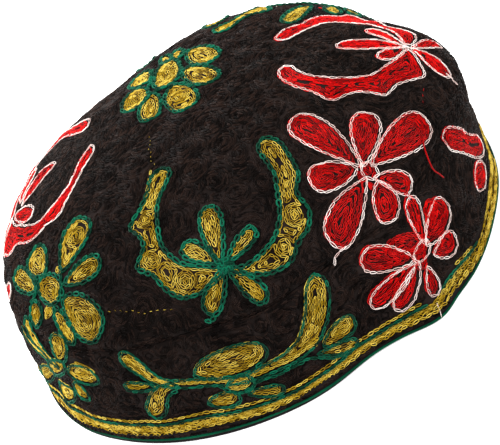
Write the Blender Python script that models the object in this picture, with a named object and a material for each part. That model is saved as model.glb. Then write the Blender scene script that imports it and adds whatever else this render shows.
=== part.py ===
"""Bukharan skullcap: a domed crown and an upright band of stiff quilted cloth, with a bound rim.

Metres, +Z up, the front at -Y. Sizes in the tables are in millimetres. Azimuth 0 is the front
and grows towards +X. Level 0 is the apex, 1 the seam between crown and band, 2 the rim.
"""

import math
from dataclasses import dataclass

import bmesh
import bpy
import numpy as np

MM = 0.001
SEGMENTS = 96


@dataclass(frozen=True)
class Dent:
    """A soft push outwards (or inwards when negative), in millimetres, that fades around its place."""

    name: str
    azimuth: float
    width: float
    level: float
    height: float
    push: float


DENTS = (
    Dent("left corner of the rim", azimuth=-58, width=14, level=2.0, height=0.7, push=1.6),
    Dent("flat of the band, front right", azimuth=23, width=11, level=2.0, height=0.9, push=-3.8),
    Dent("folded corner of the band", azimuth=41, width=6, level=2.0, height=0.7, push=4.0),
    Dent("belly behind the fold", azimuth=52, width=12, level=2.0, height=0.8, push=2.6),
    Dent("flat of the rim, right", azimuth=80, width=12, level=2.0, height=0.6, push=-1.2),
    Dent("flare of the band, back right", azimuth=126, width=20, level=2.0, height=0.7, push=8.0),
    Dent("pucker of the seam", azimuth=-13, width=8, level=1.0, height=0.35, push=-3.4),
    Dent("bulge of the seam", azimuth=5, width=6, level=1.0, height=0.3, push=1.8),
    Dent("slope of the crown, left", azimuth=-95, width=20, level=0.5, height=0.2, push=-0.8),
    Dent("flat under the left edge", azimuth=-83, width=12, level=1.05, height=0.25, push=-2.4),
    Dent("belly of the band, left", azimuth=-77, width=6, level=1.55, height=0.2, push=0.6),
    Dent("crease of the band, left", azimuth=-62, width=8, level=1.5, height=0.28, push=-2.4),
    Dent("shoulder of the crown, right", azimuth=92, width=20, level=0.97, height=0.33, push=3.0),
    Dent("flat of the crown, back right", azimuth=122, width=13, level=0.75, height=0.22, push=-4.6),
    Dent("slope of the crown, back", azimuth=160, width=26, level=0.6, height=0.3, push=2.2),
    Dent("flat of the crown, back left", azimuth=-142, width=20, level=0.58, height=0.25, push=-3.0),
)


@dataclass(frozen=True)
class CapForm:
    """The outer face of the cap, from a rounded plan, a domed profile and the dents."""

    half_length: float = 97.0
    half_width: float = 87.0
    length_azimuth: float = 121.0
    plan_power: float = 2.1
    seam_height: float = 45.0
    seam_rise: float = 6.0
    rise_azimuth: float = 76.0
    rise_width: float = 26.0
    apex_height: float = 86.0
    top_power: float = 2.44
    side_power: float = 1.66
    lean_right: float = 4.6
    lean_back: float = 3.6
    seam_inset: float = 1.0
    rim_tuck: float = 1.0
    tuck_height: float = 12.0
    centre_right: float = 0.8
    centre_back: float = 0.0

    def plan_radius(self, azimuth: np.ndarray) -> np.ndarray:
        """The rim's radius before the dents."""
        turn = azimuth - math.radians(self.length_azimuth)
        along = np.abs(np.cos(turn) / self.half_length) ** self.plan_power
        across = np.abs(np.sin(turn) / self.half_width) ** self.plan_power
        return (along + across) ** (-1 / self.plan_power)

    def seam(self, azimuth: np.ndarray) -> np.ndarray:
        """The seam's height, which climbs on the right."""
        aside = (np.degrees(azimuth) - self.rise_azimuth + 180) % 360 - 180
        return self.seam_height + self.seam_rise * np.exp(-((aside / self.rise_width) ** 2))

    def profile(self, crown_level: np.ndarray) -> tuple[np.ndarray, np.ndarray]:
        """The crown's radius and height as shares of the seam's radius and of the dome's height."""
        angle = np.linspace(0, math.pi / 2, 400)
        radius = np.sin(angle) ** (2 / self.top_power)
        height = np.cos(angle) ** (2 / self.side_power)
        mean_radius = (self.half_length + self.half_width) / 2
        steps = np.hypot(
            np.diff(radius * mean_radius),
            np.diff(height * (self.apex_height - self.seam_height)),
        )
        length = np.concatenate([[0], np.cumsum(steps)])
        share = length / length[-1]
        return np.interp(crown_level, share, radius), np.interp(crown_level, share, height)

    def point(self, level: np.ndarray, azimuth: np.ndarray) -> np.ndarray:
        """Points of the outer face, in millimetres."""
        level, azimuth = np.broadcast_arrays(level, azimuth)
        radius_share, height_share = self.profile(np.clip(level, 0, 1))
        down = np.clip(level - 1, 0, 1)
        crown = np.clip(level, 0, 1) ** 2
        radius = self.plan_radius(azimuth) * radius_share
        radius = radius - self.seam_inset * (1 - down) * ease(radius_share)
        seam = self.seam(azimuth)
        dome = seam + (self.apex_height - seam) * height_share
        height = np.where(level <= 1, dome, seam * (1 - down))
        for dent in DENTS:
            aside = (np.degrees(azimuth) - dent.azimuth + 180) % 360 - 180
            share = np.exp(-((aside / dent.width) ** 2) - ((level - dent.level) / dent.height) ** 2)
            radius = radius + dent.push * share * np.minimum(radius_share, 1) * np.sqrt(crown)
            height = height + dent.push * share * (1 - crown) * 0.9
        radius = radius - self.rim_tuck * ease(1 - height / self.tuck_height)
        right = radius * np.sin(azimuth) + self.lean_right * height_share - self.centre_right
        back = -radius * np.cos(azimuth) + self.lean_back * height_share - self.centre_back
        return np.stack([right, back, height], axis=-1)

    def normal(self, level: np.ndarray, azimuth: np.ndarray) -> np.ndarray:
        """Unit normals of the outer face, level at the rim and upright at the apex."""
        level, azimuth = np.broadcast_arrays(level, azimuth)
        step = 0.01
        low, high = np.clip(level - step, 0, 2), np.clip(level + step, 0, 2)
        downwards = self.point(high, azimuth) - self.point(low, azimuth)
        near = np.maximum(level, 0.02)
        around = self.point(near, azimuth + step) - self.point(near, azimuth - step)
        face = np.cross(downwards, around)
        face[..., 2] *= np.clip(2 - level, 0, 1)
        face = face / np.linalg.norm(face, axis=-1, keepdims=True)
        return np.where((level < 0.01)[..., None], (0.0, 0.0, 1.0), face)


@dataclass(frozen=True)
class Row:
    """One ring of a piece: its level, millimetres up the band from there, and how far it stands out."""

    level: float
    lift: float
    out: float


@dataclass(frozen=True)
class Cloth:
    """Thicknesses and gaps of the pieces, in millimetres."""

    wall: float = 2.2
    gap: float = 0.3
    crown_length: float = 115.0
    crown_rows: int = 13
    band_rows: int = 6
    tape: float = 0.8
    tape_height: float = 5.0
    tape_round: float = 0.9


def ease(share: np.ndarray) -> np.ndarray:
    """A smooth step from 0 to 1."""
    share = np.clip(share, 0, 1)
    return share * share * (3 - 2 * share)


def crown_rows(cloth: Cloth) -> list[Row]:
    """The crown's outer face from the apex to its edge, then its inner face back to the apex."""
    edge = 1 - cloth.gap / 2 / cloth.crown_length
    levels = [edge * row / cloth.crown_rows for row in range(cloth.crown_rows + 1)]
    outer = [Row(level, 0, 0) for level in levels]
    inner = [Row(level, 0, -cloth.wall) for level in reversed(levels)]
    return outer + inner


def band_rows(cloth: Cloth) -> list[Row]:
    """The band's section: down its outer face, up its inner face and back to the start."""
    top, bottom = -cloth.gap / 2, cloth.tape + cloth.gap
    shares = [row / cloth.band_rows for row in range(cloth.band_rows + 1)]
    outer = [Row(1 + share, top + (bottom - top) * share, 0) for share in shares]
    inner = [Row(row.level, row.lift, -cloth.wall) for row in reversed(outer)]
    return outer + inner + outer[:1]


def binding_rows(cloth: Cloth) -> list[Row]:
    """The binding's section: a U of tape round the band's lower edge, flat underneath."""
    outside = cloth.gap + cloth.tape
    inside = -cloth.wall - cloth.gap - cloth.tape
    top, bend, floor = cloth.tape_height, cloth.tape_round, cloth.tape
    chamfer = 0.3
    section = [
        Row(2, 0, outside - bend),
        Row(2, bend, outside),
        Row(2, top - chamfer, outside),
        Row(2, top, outside - chamfer),
        Row(2, top, outside - cloth.tape),
        Row(2, floor, outside - cloth.tape),
        Row(2, floor, inside + cloth.tape),
        Row(2, top, inside + cloth.tape),
        Row(2, top, inside + chamfer),
        Row(2, top - chamfer, inside),
        Row(2, bend, inside),
        Row(2, 0, inside + bend),
    ]
    return section + section[:1]


def cloth_material(name: str, colour: tuple[float, float, float], roughness: float) -> bpy.types.Material:
    """A plain cloth colour."""
    material = bpy.data.materials.new(name)
    material.use_nodes = True
    shader = material.node_tree.nodes["Principled BSDF"]
    shader.inputs["Base Color"].default_value = (*colour, 1.0)
    shader.inputs["Roughness"].default_value = roughness
    shader.inputs["Metallic"].default_value = 0.0
    return material


def piece(name: str, rows: list[Row], form: CapForm, material: bpy.types.Material) -> bpy.types.Object:
    """A closed body whose rings follow the rows all round the cap."""
    azimuths = np.linspace(0, 2 * math.pi, SEGMENTS, endpoint=False)[None, :]
    levels = np.array([row.level for row in rows])[:, None]
    lifts = np.array([row.lift for row in rows])[:, None]
    out = np.array([row.out for row in rows])[:, None, None]
    levels = levels - lifts / form.seam(azimuths)
    places = form.point(levels, azimuths) + form.normal(levels, azimuths) * out
    body = bmesh.new()
    strips = len(rows) - 1
    bmesh.ops.create_grid(body, x_segments=SEGMENTS, y_segments=strips, size=1.0)
    for vert in body.verts:
        column = round((vert.co.x + 1) / 2 * SEGMENTS) % SEGMENTS
        row = round((vert.co.y + 1) / 2 * strips)
        vert.co = places[row, column] * MM
    bmesh.ops.remove_doubles(body, verts=body.verts, dist=0.0001)
    bmesh.ops.recalc_face_normals(body, faces=body.faces)
    mesh = bpy.data.meshes.new(name)
    body.to_mesh(mesh)
    body.free()
    mesh.materials.append(material)
    result = bpy.data.objects.new(name, mesh)
    bpy.context.scene.collection.objects.link(result)
    return result


def main() -> None:
    """Clears the scene and builds the crown, the band and the binding."""
    for old in list(bpy.data.objects):
        bpy.data.objects.remove(old)
    form, cloth = CapForm(), Cloth()
    ground = cloth_material("embroidered cloth", (0.009, 0.0065, 0.006), 0.85)
    braid = cloth_material("edge braid", (0.008, 0.0065, 0.0065), 0.75)
    piece("crown", crown_rows(cloth), form, ground)
    piece("band", band_rows(cloth), form, ground)
    piece("rim_binding", binding_rows(cloth), form, braid)


if __name__ == "__main__":
    main()
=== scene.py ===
"""The looks of a Bukharan skullcap: chain-stitch embroidery over stiff black cloth.

Sizes in the tables are in millimetres. Azimuth 0 is the front (-Y) and grows towards +X. Level 0 is
the apex, 1 the seam between crown and band, 2 the rim. Motifs are drawn on two flat charts: the
crown's has the apex at its origin, +X to the right and the front at -Y; the band's has u along the
rim and v up from it.
"""

import logging
import math
from dataclasses import dataclass, field, replace
from enum import Enum

import bmesh
import bpy
import numpy as np
from mathutils import Matrix, Vector
from mathutils.kdtree import KDTree


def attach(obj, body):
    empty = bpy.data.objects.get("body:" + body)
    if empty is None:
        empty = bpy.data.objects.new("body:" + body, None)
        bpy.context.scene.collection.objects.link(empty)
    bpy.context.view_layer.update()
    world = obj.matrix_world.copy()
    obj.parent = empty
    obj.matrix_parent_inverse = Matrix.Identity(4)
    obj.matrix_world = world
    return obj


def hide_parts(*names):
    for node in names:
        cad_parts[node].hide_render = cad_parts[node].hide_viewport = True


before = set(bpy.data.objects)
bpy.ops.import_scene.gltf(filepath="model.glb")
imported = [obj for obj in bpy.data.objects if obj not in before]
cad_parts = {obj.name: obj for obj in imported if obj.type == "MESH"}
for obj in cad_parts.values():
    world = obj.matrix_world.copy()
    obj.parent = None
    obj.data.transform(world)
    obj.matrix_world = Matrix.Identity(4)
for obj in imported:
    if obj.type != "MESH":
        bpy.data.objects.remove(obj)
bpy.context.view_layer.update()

MM = 0.001
BODY = "root"
CLOTH_SLOT = "embroidered_cloth"
EDGE_SLOT = "edge_braid"
LOG = logging.getLogger("skullcap")

Pair = tuple[float, float]
Triple = tuple[float, float, float]
Colour = Triple
Socket = bpy.types.NodeSocket


def ease(share: np.ndarray) -> np.ndarray:
    """A smooth step from 0 to 1."""
    share = np.clip(share, 0, 1)
    return share * share * (3 - 2 * share)


def unit(vectors: np.ndarray) -> np.ndarray:
    """The vectors along the last axis, each brought to a length of one."""
    return vectors / np.linalg.norm(vectors, axis=-1, keepdims=True)


def degrees_from(middle: float, azimuth: np.ndarray) -> np.ndarray:
    """Degrees from a middle azimuth (degrees) to azimuths in radians, the shorter way round."""
    return (np.degrees(azimuth) - middle + 180) % 360 - 180


def between(at: np.ndarray, reach: np.ndarray, rows: np.ndarray) -> np.ndarray:
    """Rows of values read at places between those where they stand, column by column."""
    return np.stack([np.interp(at, reach, column) for column in rows.T], axis=1)


# Form of the cap


@dataclass(frozen=True)
class Dent:
    """A soft push outwards (or inwards when negative), in millimetres, that fades around its place."""

    name: str
    azimuth: float
    width: float
    level: float
    height: float
    push: float


DENTS = (
    Dent("left corner of the rim", azimuth=-58, width=14, level=2.0, height=0.7, push=1.6),
    Dent("flat of the band, front right", azimuth=23, width=11, level=2.0, height=0.9, push=-3.8),
    Dent("folded corner of the band", azimuth=41, width=6, level=2.0, height=0.7, push=4.0),
    Dent("belly behind the fold", azimuth=52, width=12, level=2.0, height=0.8, push=2.6),
    Dent("flat of the rim, right", azimuth=80, width=12, level=2.0, height=0.6, push=-1.2),
    Dent("flare of the band, back right", azimuth=126, width=20, level=2.0, height=0.7, push=8.0),
    Dent("pucker of the seam", azimuth=-13, width=8, level=1.0, height=0.35, push=-3.4),
    Dent("bulge of the seam", azimuth=5, width=6, level=1.0, height=0.3, push=1.8),
    Dent("slope of the crown, left", azimuth=-95, width=20, level=0.5, height=0.2, push=-0.8),
    Dent("flat under the left edge", azimuth=-83, width=12, level=1.05, height=0.25, push=-2.4),
    Dent("belly of the band, left", azimuth=-77, width=6, level=1.55, height=0.2, push=0.6),
    Dent("crease of the band, left", azimuth=-62, width=8, level=1.5, height=0.28, push=-2.4),
    Dent("shoulder of the crown, right", azimuth=92, width=20, level=0.97, height=0.33, push=3.0),
    Dent("flat of the crown, back right", azimuth=122, width=13, level=0.75, height=0.22, push=-4.6),
    Dent("slope of the crown, back", azimuth=160, width=26, level=0.6, height=0.3, push=2.2),
    Dent("flat of the crown, back left", azimuth=-142, width=20, level=0.58, height=0.25, push=-3.0),
)


@dataclass(frozen=True)
class CapForm:
    """The outer face of the cap, from a rounded plan, a domed profile, the dents and the quilting."""

    half_length: float = 97.0
    half_width: float = 87.0
    length_azimuth: float = 121.0
    plan_power: float = 2.1
    seam_height: float = 45.0
    seam_rise: float = 6.0
    rise_azimuth: float = 76.0
    rise_width: float = 26.0
    apex_height: float = 86.0
    top_power: float = 2.44
    side_power: float = 1.66
    profile_steps: int = 400
    dent_lift: float = 0.9
    lean_right: float = 4.6
    lean_back: float = 3.6
    seam_inset: float = 1.0
    rim_tuck: float = 1.0
    tuck_height: float = 12.0
    centre_right: float = 0.8
    centre_back: float = 0.0
    crown_length: float = 115.0
    rim_radius: float = 91.0
    seam_crease: float = 0.9
    crease_breadth: float = 1.6
    quilt_depth: float = 0.11
    quilt_waves: int = 7
    quilt_lengths: Pair = (9, 19)
    quilt_seed: int = 7
    calm_height: float = 10.0

    def plan_radius(self, azimuth: np.ndarray) -> np.ndarray:
        """The rim's radius before the dents, in millimetres, at azimuths in radians."""
        turn = azimuth - math.radians(self.length_azimuth)
        along = np.abs(np.cos(turn) / self.half_length) ** self.plan_power
        across = np.abs(np.sin(turn) / self.half_width) ** self.plan_power
        return (along + across) ** (-1 / self.plan_power)

    def seam(self, azimuth: np.ndarray) -> np.ndarray:
        """The seam's height, which climbs on the right."""
        aside = degrees_from(self.rise_azimuth, azimuth)
        return self.seam_height + self.seam_rise * np.exp(-((aside / self.rise_width) ** 2))

    def profile(self, crown_level: np.ndarray) -> tuple[np.ndarray, np.ndarray]:
        """The crown's radius and height as shares of the seam's radius and of the dome's height."""
        angle = np.linspace(0, math.pi / 2, self.profile_steps)
        radius = np.sin(angle) ** (2 / self.top_power)
        height = np.cos(angle) ** (2 / self.side_power)
        mean_radius = (self.half_length + self.half_width) / 2
        steps = np.hypot(
            np.diff(radius * mean_radius),
            np.diff(height * (self.apex_height - self.seam_height)),
        )
        length = np.concatenate([[0], np.cumsum(steps)])
        share = length / length[-1]
        return np.interp(crown_level, share, radius), np.interp(crown_level, share, height)

    def point(self, level: np.ndarray, azimuth: np.ndarray) -> np.ndarray:
        """Points of the outer face before its quilting, in millimetres."""
        level, azimuth = np.broadcast_arrays(level, azimuth)
        radius_share, height_share = self.profile(np.clip(level, 0, 1))
        down = np.clip(level - 1, 0, 1)
        crown = np.clip(level, 0, 1) ** 2
        radius = self.plan_radius(azimuth) * radius_share
        radius = radius - self.seam_inset * (1 - down) * ease(radius_share)
        seam = self.seam(azimuth)
        dome = seam + (self.apex_height - seam) * height_share
        height = np.where(level <= 1, dome, seam * (1 - down))
        for dent in DENTS:
            aside = degrees_from(dent.azimuth, azimuth)
            share = np.exp(-((aside / dent.width) ** 2) - ((level - dent.level) / dent.height) ** 2)
            radius = radius + dent.push * share * np.minimum(radius_share, 1) * np.sqrt(crown)
            height = height + dent.push * share * (1 - crown) * self.dent_lift
        radius = radius - self.rim_tuck * ease(1 - height / self.tuck_height)
        right = radius * np.sin(azimuth) + self.lean_right * height_share - self.centre_right
        back = -radius * np.cos(azimuth) + self.lean_back * height_share - self.centre_back
        return np.stack([right, back, height], axis=-1)

    def normal(self, level: np.ndarray, azimuth: np.ndarray) -> np.ndarray:
        """Unit normals of the outer face, level at the rim and upright at the apex."""
        level, azimuth = np.broadcast_arrays(level, azimuth)
        step = 0.01
        low, high = np.clip(level - step, 0, 2 - step), np.clip(level + step, 0, 2)
        downwards = self.point(high, azimuth) - self.point(low, azimuth)
        off_apex = np.maximum(level, 2 * step)
        around = self.point(off_apex, azimuth + step) - self.point(off_apex, azimuth - step)
        face = np.cross(downwards, around)
        face[..., 2] *= np.clip(2 - level, 0, 1)
        return np.where((level < step)[..., None], (0.0, 0.0, 1.0), unit(face))

    def quilting(self, place: np.ndarray) -> np.ndarray:
        """How far the stuffed cloth swells or sinks: a sum of waves in random directions."""
        draws = np.random.default_rng(self.quilt_seed)
        swell = np.zeros(place.shape[:-1])
        for _ in range(self.quilt_waves):
            direction = draws.normal(size=3)
            direction = direction / np.linalg.norm(direction)
            wave_length = draws.uniform(*self.quilt_lengths)
            start = draws.uniform(0, 2 * math.pi)
            swell = swell + np.sin(place @ direction * (2 * math.pi / wave_length) + start)
        return swell * self.quilt_depth

    def surface(self, level: np.ndarray, azimuth: np.ndarray) -> tuple[np.ndarray, np.ndarray]:
        """Points with the quilting and the seam's crease, and normals.

        Args:
            level: 0 at the apex, 1 at the seam, 2 at the rim.
            azimuth: radians from the front.

        Returns:
            The points in millimetres and the unit normals, both with a last axis of three.
        """
        place, normal = self.point(level, azimuth), self.normal(level, azimuth)
        calm = ease(place[..., 2] / self.calm_height)
        beside = (level - 1) * np.where(level < 1, self.crown_length, self.seam_height)
        crease = self.seam_crease * np.exp(-((beside / self.crease_breadth) ** 2))
        return place + normal * (self.quilting(place) * calm - crease)[..., None], normal


FORM = CapForm()


# Charts


class Chart(Enum):
    """The two flat charts that the embroidery is drawn on."""

    CROWN = "crown"
    BAND = "band"

    def surface(self, spots: np.ndarray) -> tuple[np.ndarray, np.ndarray]:
        """Points and normals of the cap at spots of the chart, which may lie past the seam."""
        if self is Chart.CROWN:
            past = np.hypot(spots[..., 0], spots[..., 1]) - FORM.crown_length
            azimuth = np.arctan2(spots[..., 0], -spots[..., 1])
        else:
            past = FORM.seam_height - spots[..., 1]
            azimuth = spots[..., 0] / FORM.rim_radius
        level = 1 + past / np.where(past < 0, FORM.crown_length, FORM.seam_height)
        return FORM.surface(np.minimum(level, 2), azimuth)

    def carried(self, loop: np.ndarray) -> np.ndarray:
        """The loop drawn on the other chart, across the seam."""
        if self is Chart.CROWN:
            past = np.hypot(loop[:, 0], loop[:, 1]) - FORM.crown_length
            turn = np.arctan2(loop[:, 0], -loop[:, 1])
            return np.stack([turn * FORM.rim_radius, FORM.seam_height - past], axis=1)
        turn = loop[:, 0] / FORM.rim_radius
        reach = FORM.crown_length + FORM.seam_height - loop[:, 1]
        return np.stack([reach * np.sin(turn), -reach * np.cos(turn)], axis=1)

    def crosses(self, loop: np.ndarray) -> bool:
        """Whether a loop of this chart runs across the seam."""
        if self is Chart.CROWN:
            return bool(np.hypot(loop[:, 0], loop[:, 1]).max() > FORM.crown_length)
        return bool(loop[:, 1].max() > FORM.seam_height)


def smooth(corners: np.ndarray, closed: bool = True, step: float = 0.5) -> np.ndarray:
    """A curve through the corners.

    Args:
        corners: the corners, one a row.
        closed: whether the curve comes back to its start.
        step: about how far apart the curve's points are.

    Returns:
        The curve's points; a closed one doesn't repeat its first.
    """
    before, after = np.roll(corners, 1, axis=0), np.roll(corners, -1, axis=0)
    later = np.roll(corners, -2, axis=0)
    if not closed:
        before[0], later[-2] = corners[0], corners[-1]
    pieces = []
    for p0, p1, p2, p3 in list(zip(before, corners, after, later))[: None if closed else -1]:
        count = max(2, int(np.linalg.norm(p2 - p1) / step))
        t = np.linspace(0, 1, count, endpoint=False)[:, None]
        start, end = (p2 - p0) * 0.5, (p3 - p1) * 0.5
        rise = t * t * (3 - 2 * t)
        curve = p1 * (1 - rise) + p2 * rise
        pieces.append(curve + start * (t * (1 - t) ** 2) - end * (t * t * (1 - t)))
    if not closed:
        pieces.append(corners[-1:])
    return np.concatenate(pieces)


@dataclass(frozen=True)
class Petal:
    """A petal from its base to its tip; pointed 0 is an oval, 1 a drop with a sharp base.

    A petal more pointed than the rooted limit starts a root (mm) before its base. Blunt below 1 fills
    its ends out. Each whorl of the filling is x, y and radius.
    """

    base: Pair
    tip: Pair
    width: float
    pointed: float = 0.55
    fill_whorls: tuple[Triple, ...] = ()
    root: float = 2.5
    rooted: float = 0.5
    blunt: float = 0.72
    taper: float = 0.4
    points_per_mm: int = 4
    fewest_points: int = 24

    def outline(self) -> np.ndarray:
        """The closed outline."""
        base, tip = np.array(self.base), np.array(self.tip)
        if self.pointed > self.rooted:
            base = base - (tip - base) / np.linalg.norm(tip - base) * self.root
        along = tip - base
        length = np.linalg.norm(along)
        aside = np.array([-along[1], along[0]]) / length
        count = max(self.fewest_points, int(length * self.points_per_mm))
        turn = np.linspace(0, 2 * math.pi, count, endpoint=False)
        half = np.sign(np.sin(turn)) * np.abs(np.sin(turn)) ** self.blunt
        half = half * np.abs(np.sin(turn / 2)) ** (self.pointed + self.taper)
        half = half / half.max() * self.width / 2
        share = (1 - np.cos(turn)) / 2
        return base + along * share[:, None] + aside * half[:, None]


@dataclass(frozen=True)
class Blade:
    """A lobed arm: from its rounded tip, sections (inner x, inner y, outer x, outer y) to its end."""

    tip: Pair
    sections: tuple[tuple[float, float, float, float], ...]
    fill_whorls: tuple[Triple, ...] = ()

    def outline(self) -> np.ndarray:
        """The closed outline."""
        rows = np.array(self.sections)
        corners = np.concatenate([[self.tip], rows[:, 2:], rows[::-1, :2]])
        return smooth(corners)


@dataclass(frozen=True)
class Stroke:
    """A band of changing breadth along rows (u, v, half breadth)."""

    rows: tuple[Triple, ...]
    fill_whorls: tuple[Triple, ...] = ()

    def outline(self) -> np.ndarray:
        """The closed outline."""
        rows = np.array(self.rows)
        centre, half = rows[:, :2], rows[:, 2:]
        along = unit(np.gradient(centre, axis=0))
        aside = np.stack([-along[:, 1], along[:, 0]], axis=1)
        start = centre[:1] - along[:1] * half[:1]
        end = centre[-1:] + along[-1:] * half[-1:]
        left, right = centre + aside * half, centre - aside * half
        return smooth(np.concatenate([start, right, end, left[::-1]]))


Shape = Petal | Blade | Stroke


def moved(shape: Shape, turn: float, shift: Pair) -> Shape:
    """The shape turned about the chart's origin (degrees), then shifted."""
    c, s = math.cos(math.radians(turn)), math.sin(math.radians(turn))

    def spot(x: float, y: float) -> Pair:
        """One spot moved."""
        return (c * x - s * y + shift[0], s * x + c * y + shift[1])

    whorls = tuple((*spot(x, y), r) for x, y, r in shape.fill_whorls)
    if isinstance(shape, Petal):
        return replace(shape, base=spot(*shape.base), tip=spot(*shape.tip), fill_whorls=whorls)
    if isinstance(shape, Blade):
        sections = tuple((*spot(*row[:2]), *spot(*row[2:])) for row in shape.sections)
        return Blade(spot(*shape.tip), sections, whorls)
    return Stroke(tuple((*spot(*row[:2]), row[2]) for row in shape.rows), whorls)


def set_moved(shapes: tuple[Shape, ...], turn: float, shift: Pair) -> tuple[Shape, ...]:
    """A whole set of shapes turned and shifted."""
    return tuple(moved(shape, turn, shift) for shape in shapes)


# Motifs of the crown

FRONT_CRESCENT = (
    Blade(
        tip=(-18.0, -41.5),
        sections=(
            (-14.5, -45, -22.5, -44.5),
            (-17, -50, -25, -51),
            (-21, -56, -29.5, -56),
            (-23, -61, -34.5, -61),
            (-24, -67, -31.5, -67),
            (-24.5, -72, -31, -72),
            (-24, -77, -36, -77.5),
            (-21.5, -83, -31, -84),
            (-17.5, -87.5, -28.5, -91),
            (-12, -90.5, -24, -98),
            (-7, -93, -15, -100),
            (-3, -94.5, -7, -98.5),
            (-1.5, -95.5, -3, -97),
        ),
        fill_whorls=((-28, -61, 2.4), (-29.5, -78, 2.4), (-20, -93, 2.6)),
    ),
    Blade(
        tip=(25.5, -48.5),
        sections=(
            (22, -53, 31.5, -52),
            (24.5, -60, 34.5, -60),
            (27, -68, 37, -68.5),
            (26.5, -75, 34.5, -76.5),
            (26, -81, 38.5, -84),
            (24, -87.5, 36.5, -91),
            (20.5, -92, 31, -95.5),
            (15, -95, 26, -101.5),
            (9, -97, 17, -103),
            (4, -97, 8, -101),
            (-1, -95.5, 0, -97.5),
        ),
        fill_whorls=((31.8, -85, 3.2), (24.5, -95.5, 2.7)),
    ),
)
FRONT_FLOWER = (
    Petal((-3, -92), (-3.5, -70), 9.5, 0.7),
    Petal((-5.5, -91.5), (-17, -80), 7, 0.7),
    Petal((1, -93), (14, -86), 6, 0.8),
    Petal((-3, -96.5), (-14.5, -108.5), 8.5, 0.9),
    Petal((0, -97), (11.5, -111), 7, 0.9),
)
RIGHT_CRESCENT = (
    Blade(
        tip=(34.5, 15.5),
        sections=(
            (38, 13.5, 34.5, 19.5),
            (43, 18, 39, 24),
            (49, 23, 45, 28),
            (55, 25.5, 49, 34),
            (61, 27, 56, 38.5),
            (66, 27, 64, 44),
            (69, 25, 68.5, 48),
            (74, 22, 76, 38),
            (79, 18, 80, 24),
            (83, 12, 88, 21.5),
            (85, 7, 91, 12),
            (86, 3, 89, 5),
        ),
    ),
    Blade(
        tip=(36.5, -6.5),
        sections=(
            (40, -8, 34.5, -9.5),
            (42.5, -12.5, 36, -16),
            (47, -17, 41, -22.5),
            (53, -20, 48, -28),
            (58, -22, 55, -35),
            (65, -22.5, 63, -31),
            (71, -21, 70, -31),
            (76, -17.5, 77, -33),
            (80, -13, 82, -26),
            (83.5, -8, 93.5, -19),
            (85.5, -4, 93, -12),
            (86.5, -1, 89, -4),
        ),
    ),
)
RIGHT_FLOWER = (
    Petal((85, 0), (58, 1), 8, 0.7),
    Petal((85, 2), (71, 15), 6, 0.8),
    Petal((84, -2), (75, -11), 7, 0.7),
    Petal((90, 2), (102, 15), 6.5, 0.8),
    Petal((90, -1), (106, -11), 9, 0.8),
)
LEFT_CRESCENT = (
    Blade(
        tip=(-46, -3.5),
        sections=(
            (-50, -8, -44.5, -8),
            (-53, -14, -50, -17),
            (-58, -20, -55, -24),
            (-62, -23, -59, -29),
            (-65, -24.5, -63.5, -32),
            (-72, -25.5, -70, -31),
            (-78, -22, -76, -31.5),
            (-82, -18, -83, -27),
            (-85, -14, -88, -22),
            (-89, -9, -97, -18),
            (-91, -5, -102, -10),
            (-93, -1, -107, -3),
        ),
    ),
    Blade(
        tip=(-50, 15),
        sections=(
            (-53, 14, -49, 20),
            (-57.5, 18.5, -51, 24),
            (-61.5, 22.5, -56, 29),
            (-66, 25, -61, 34),
            (-71.5, 27.5, -69, 38),
            (-76.5, 27.5, -77, 36),
            (-81, 24, -88, 34),
            (-86, 18, -90, 24),
            (-89, 12, -99, 18),
            (-91, 6, -99, 9),
            (-92, 3, -96, 4),
        ),
    ),
)
LEFT_FLOWER = (
    Stroke(rows=((-84, 0, 1.4), (-79.5, 2, 3.8), (-74, 4.6, 4.8), (-69, 4.6, 3.0), (-65, 3.4, 1.0))),
    Petal((-90, 0), (-77, -17), 7, 0.2),
    Petal((-87, 4), (-81.5, 22.5), 9, 0.5),
    Petal((-95, 3), (-110, 8), 8, 0.8),
    Petal((-110, -24), (-99, -36), 6, 0.7),
)
FRONT_LEFT_FLOWER = (
    Petal((-79.5, -51.5), (-70.5, -64.5), 10.5, 0.0),
    Petal((-82.5, -52.5), (-92, -34), 8, 0.1),
    Petal((-75, -51.5), (-79, -36.5), 11, 0.2),
    Petal((-67, -57), (-51.5, -43), 13, 0.35, fill_whorls=((-56.5, -48, 2.2),)),
    Petal((-67, -62.5), (-49, -66), 8.5, 0.3),
    Petal((-70, -67), (-60, -89), 14.5, 0.1),
    Petal((-75.5, -66), (-74, -83.5), 6.5, 0.3),
    Petal((-85.5, -54.5), (-88, -64.5), 8.5, 0.1),
)
FRONT_LEFT_PATCHES = (
    Petal((-79, -61.5), (-80, -68), 8, 0.0),
    Petal((-70, -51.5), (-66.5, -59), 4, 0.0),
    Petal((-68.5, -60.5), (-72, -63), 3.5, 0.0),
    Petal((-82.5, -51), (-84.5, -54), 3.5, 0.0),
)
FRONT_RIGHT_FLOWER = (
    Petal((64, -66), (70, -71.3), 7.5, 0.0),
    Petal((62.2, -65.8), (38.5, -42), 14, 0.7),
    Petal((65.4, -65), (69, -42), 12.5, 0.7),
    Petal((70, -65.2), (96, -41), 15, 0.8),
    Petal((71, -71.7), (89, -71), 9.5, 0.6),
    Petal((70.2, -72.6), (77.5, -87.2), 14, 0.4),
    Petal((64.2, -73.8), (47.2, -98), 15, 0.8),
    Petal((62.1, -68.4), (41, -73), 12.5, 0.4),
)
FRONT_RIGHT_PATCHES = (
    Petal((61.5, -68.5), (65, -74), 4, 0.0),
    Petal((66.5, -72.5), (68, -77), 3.5, 0.0),
    Petal((61, -63.5), (66.5, -62), 3.5, 0.0),
)
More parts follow.
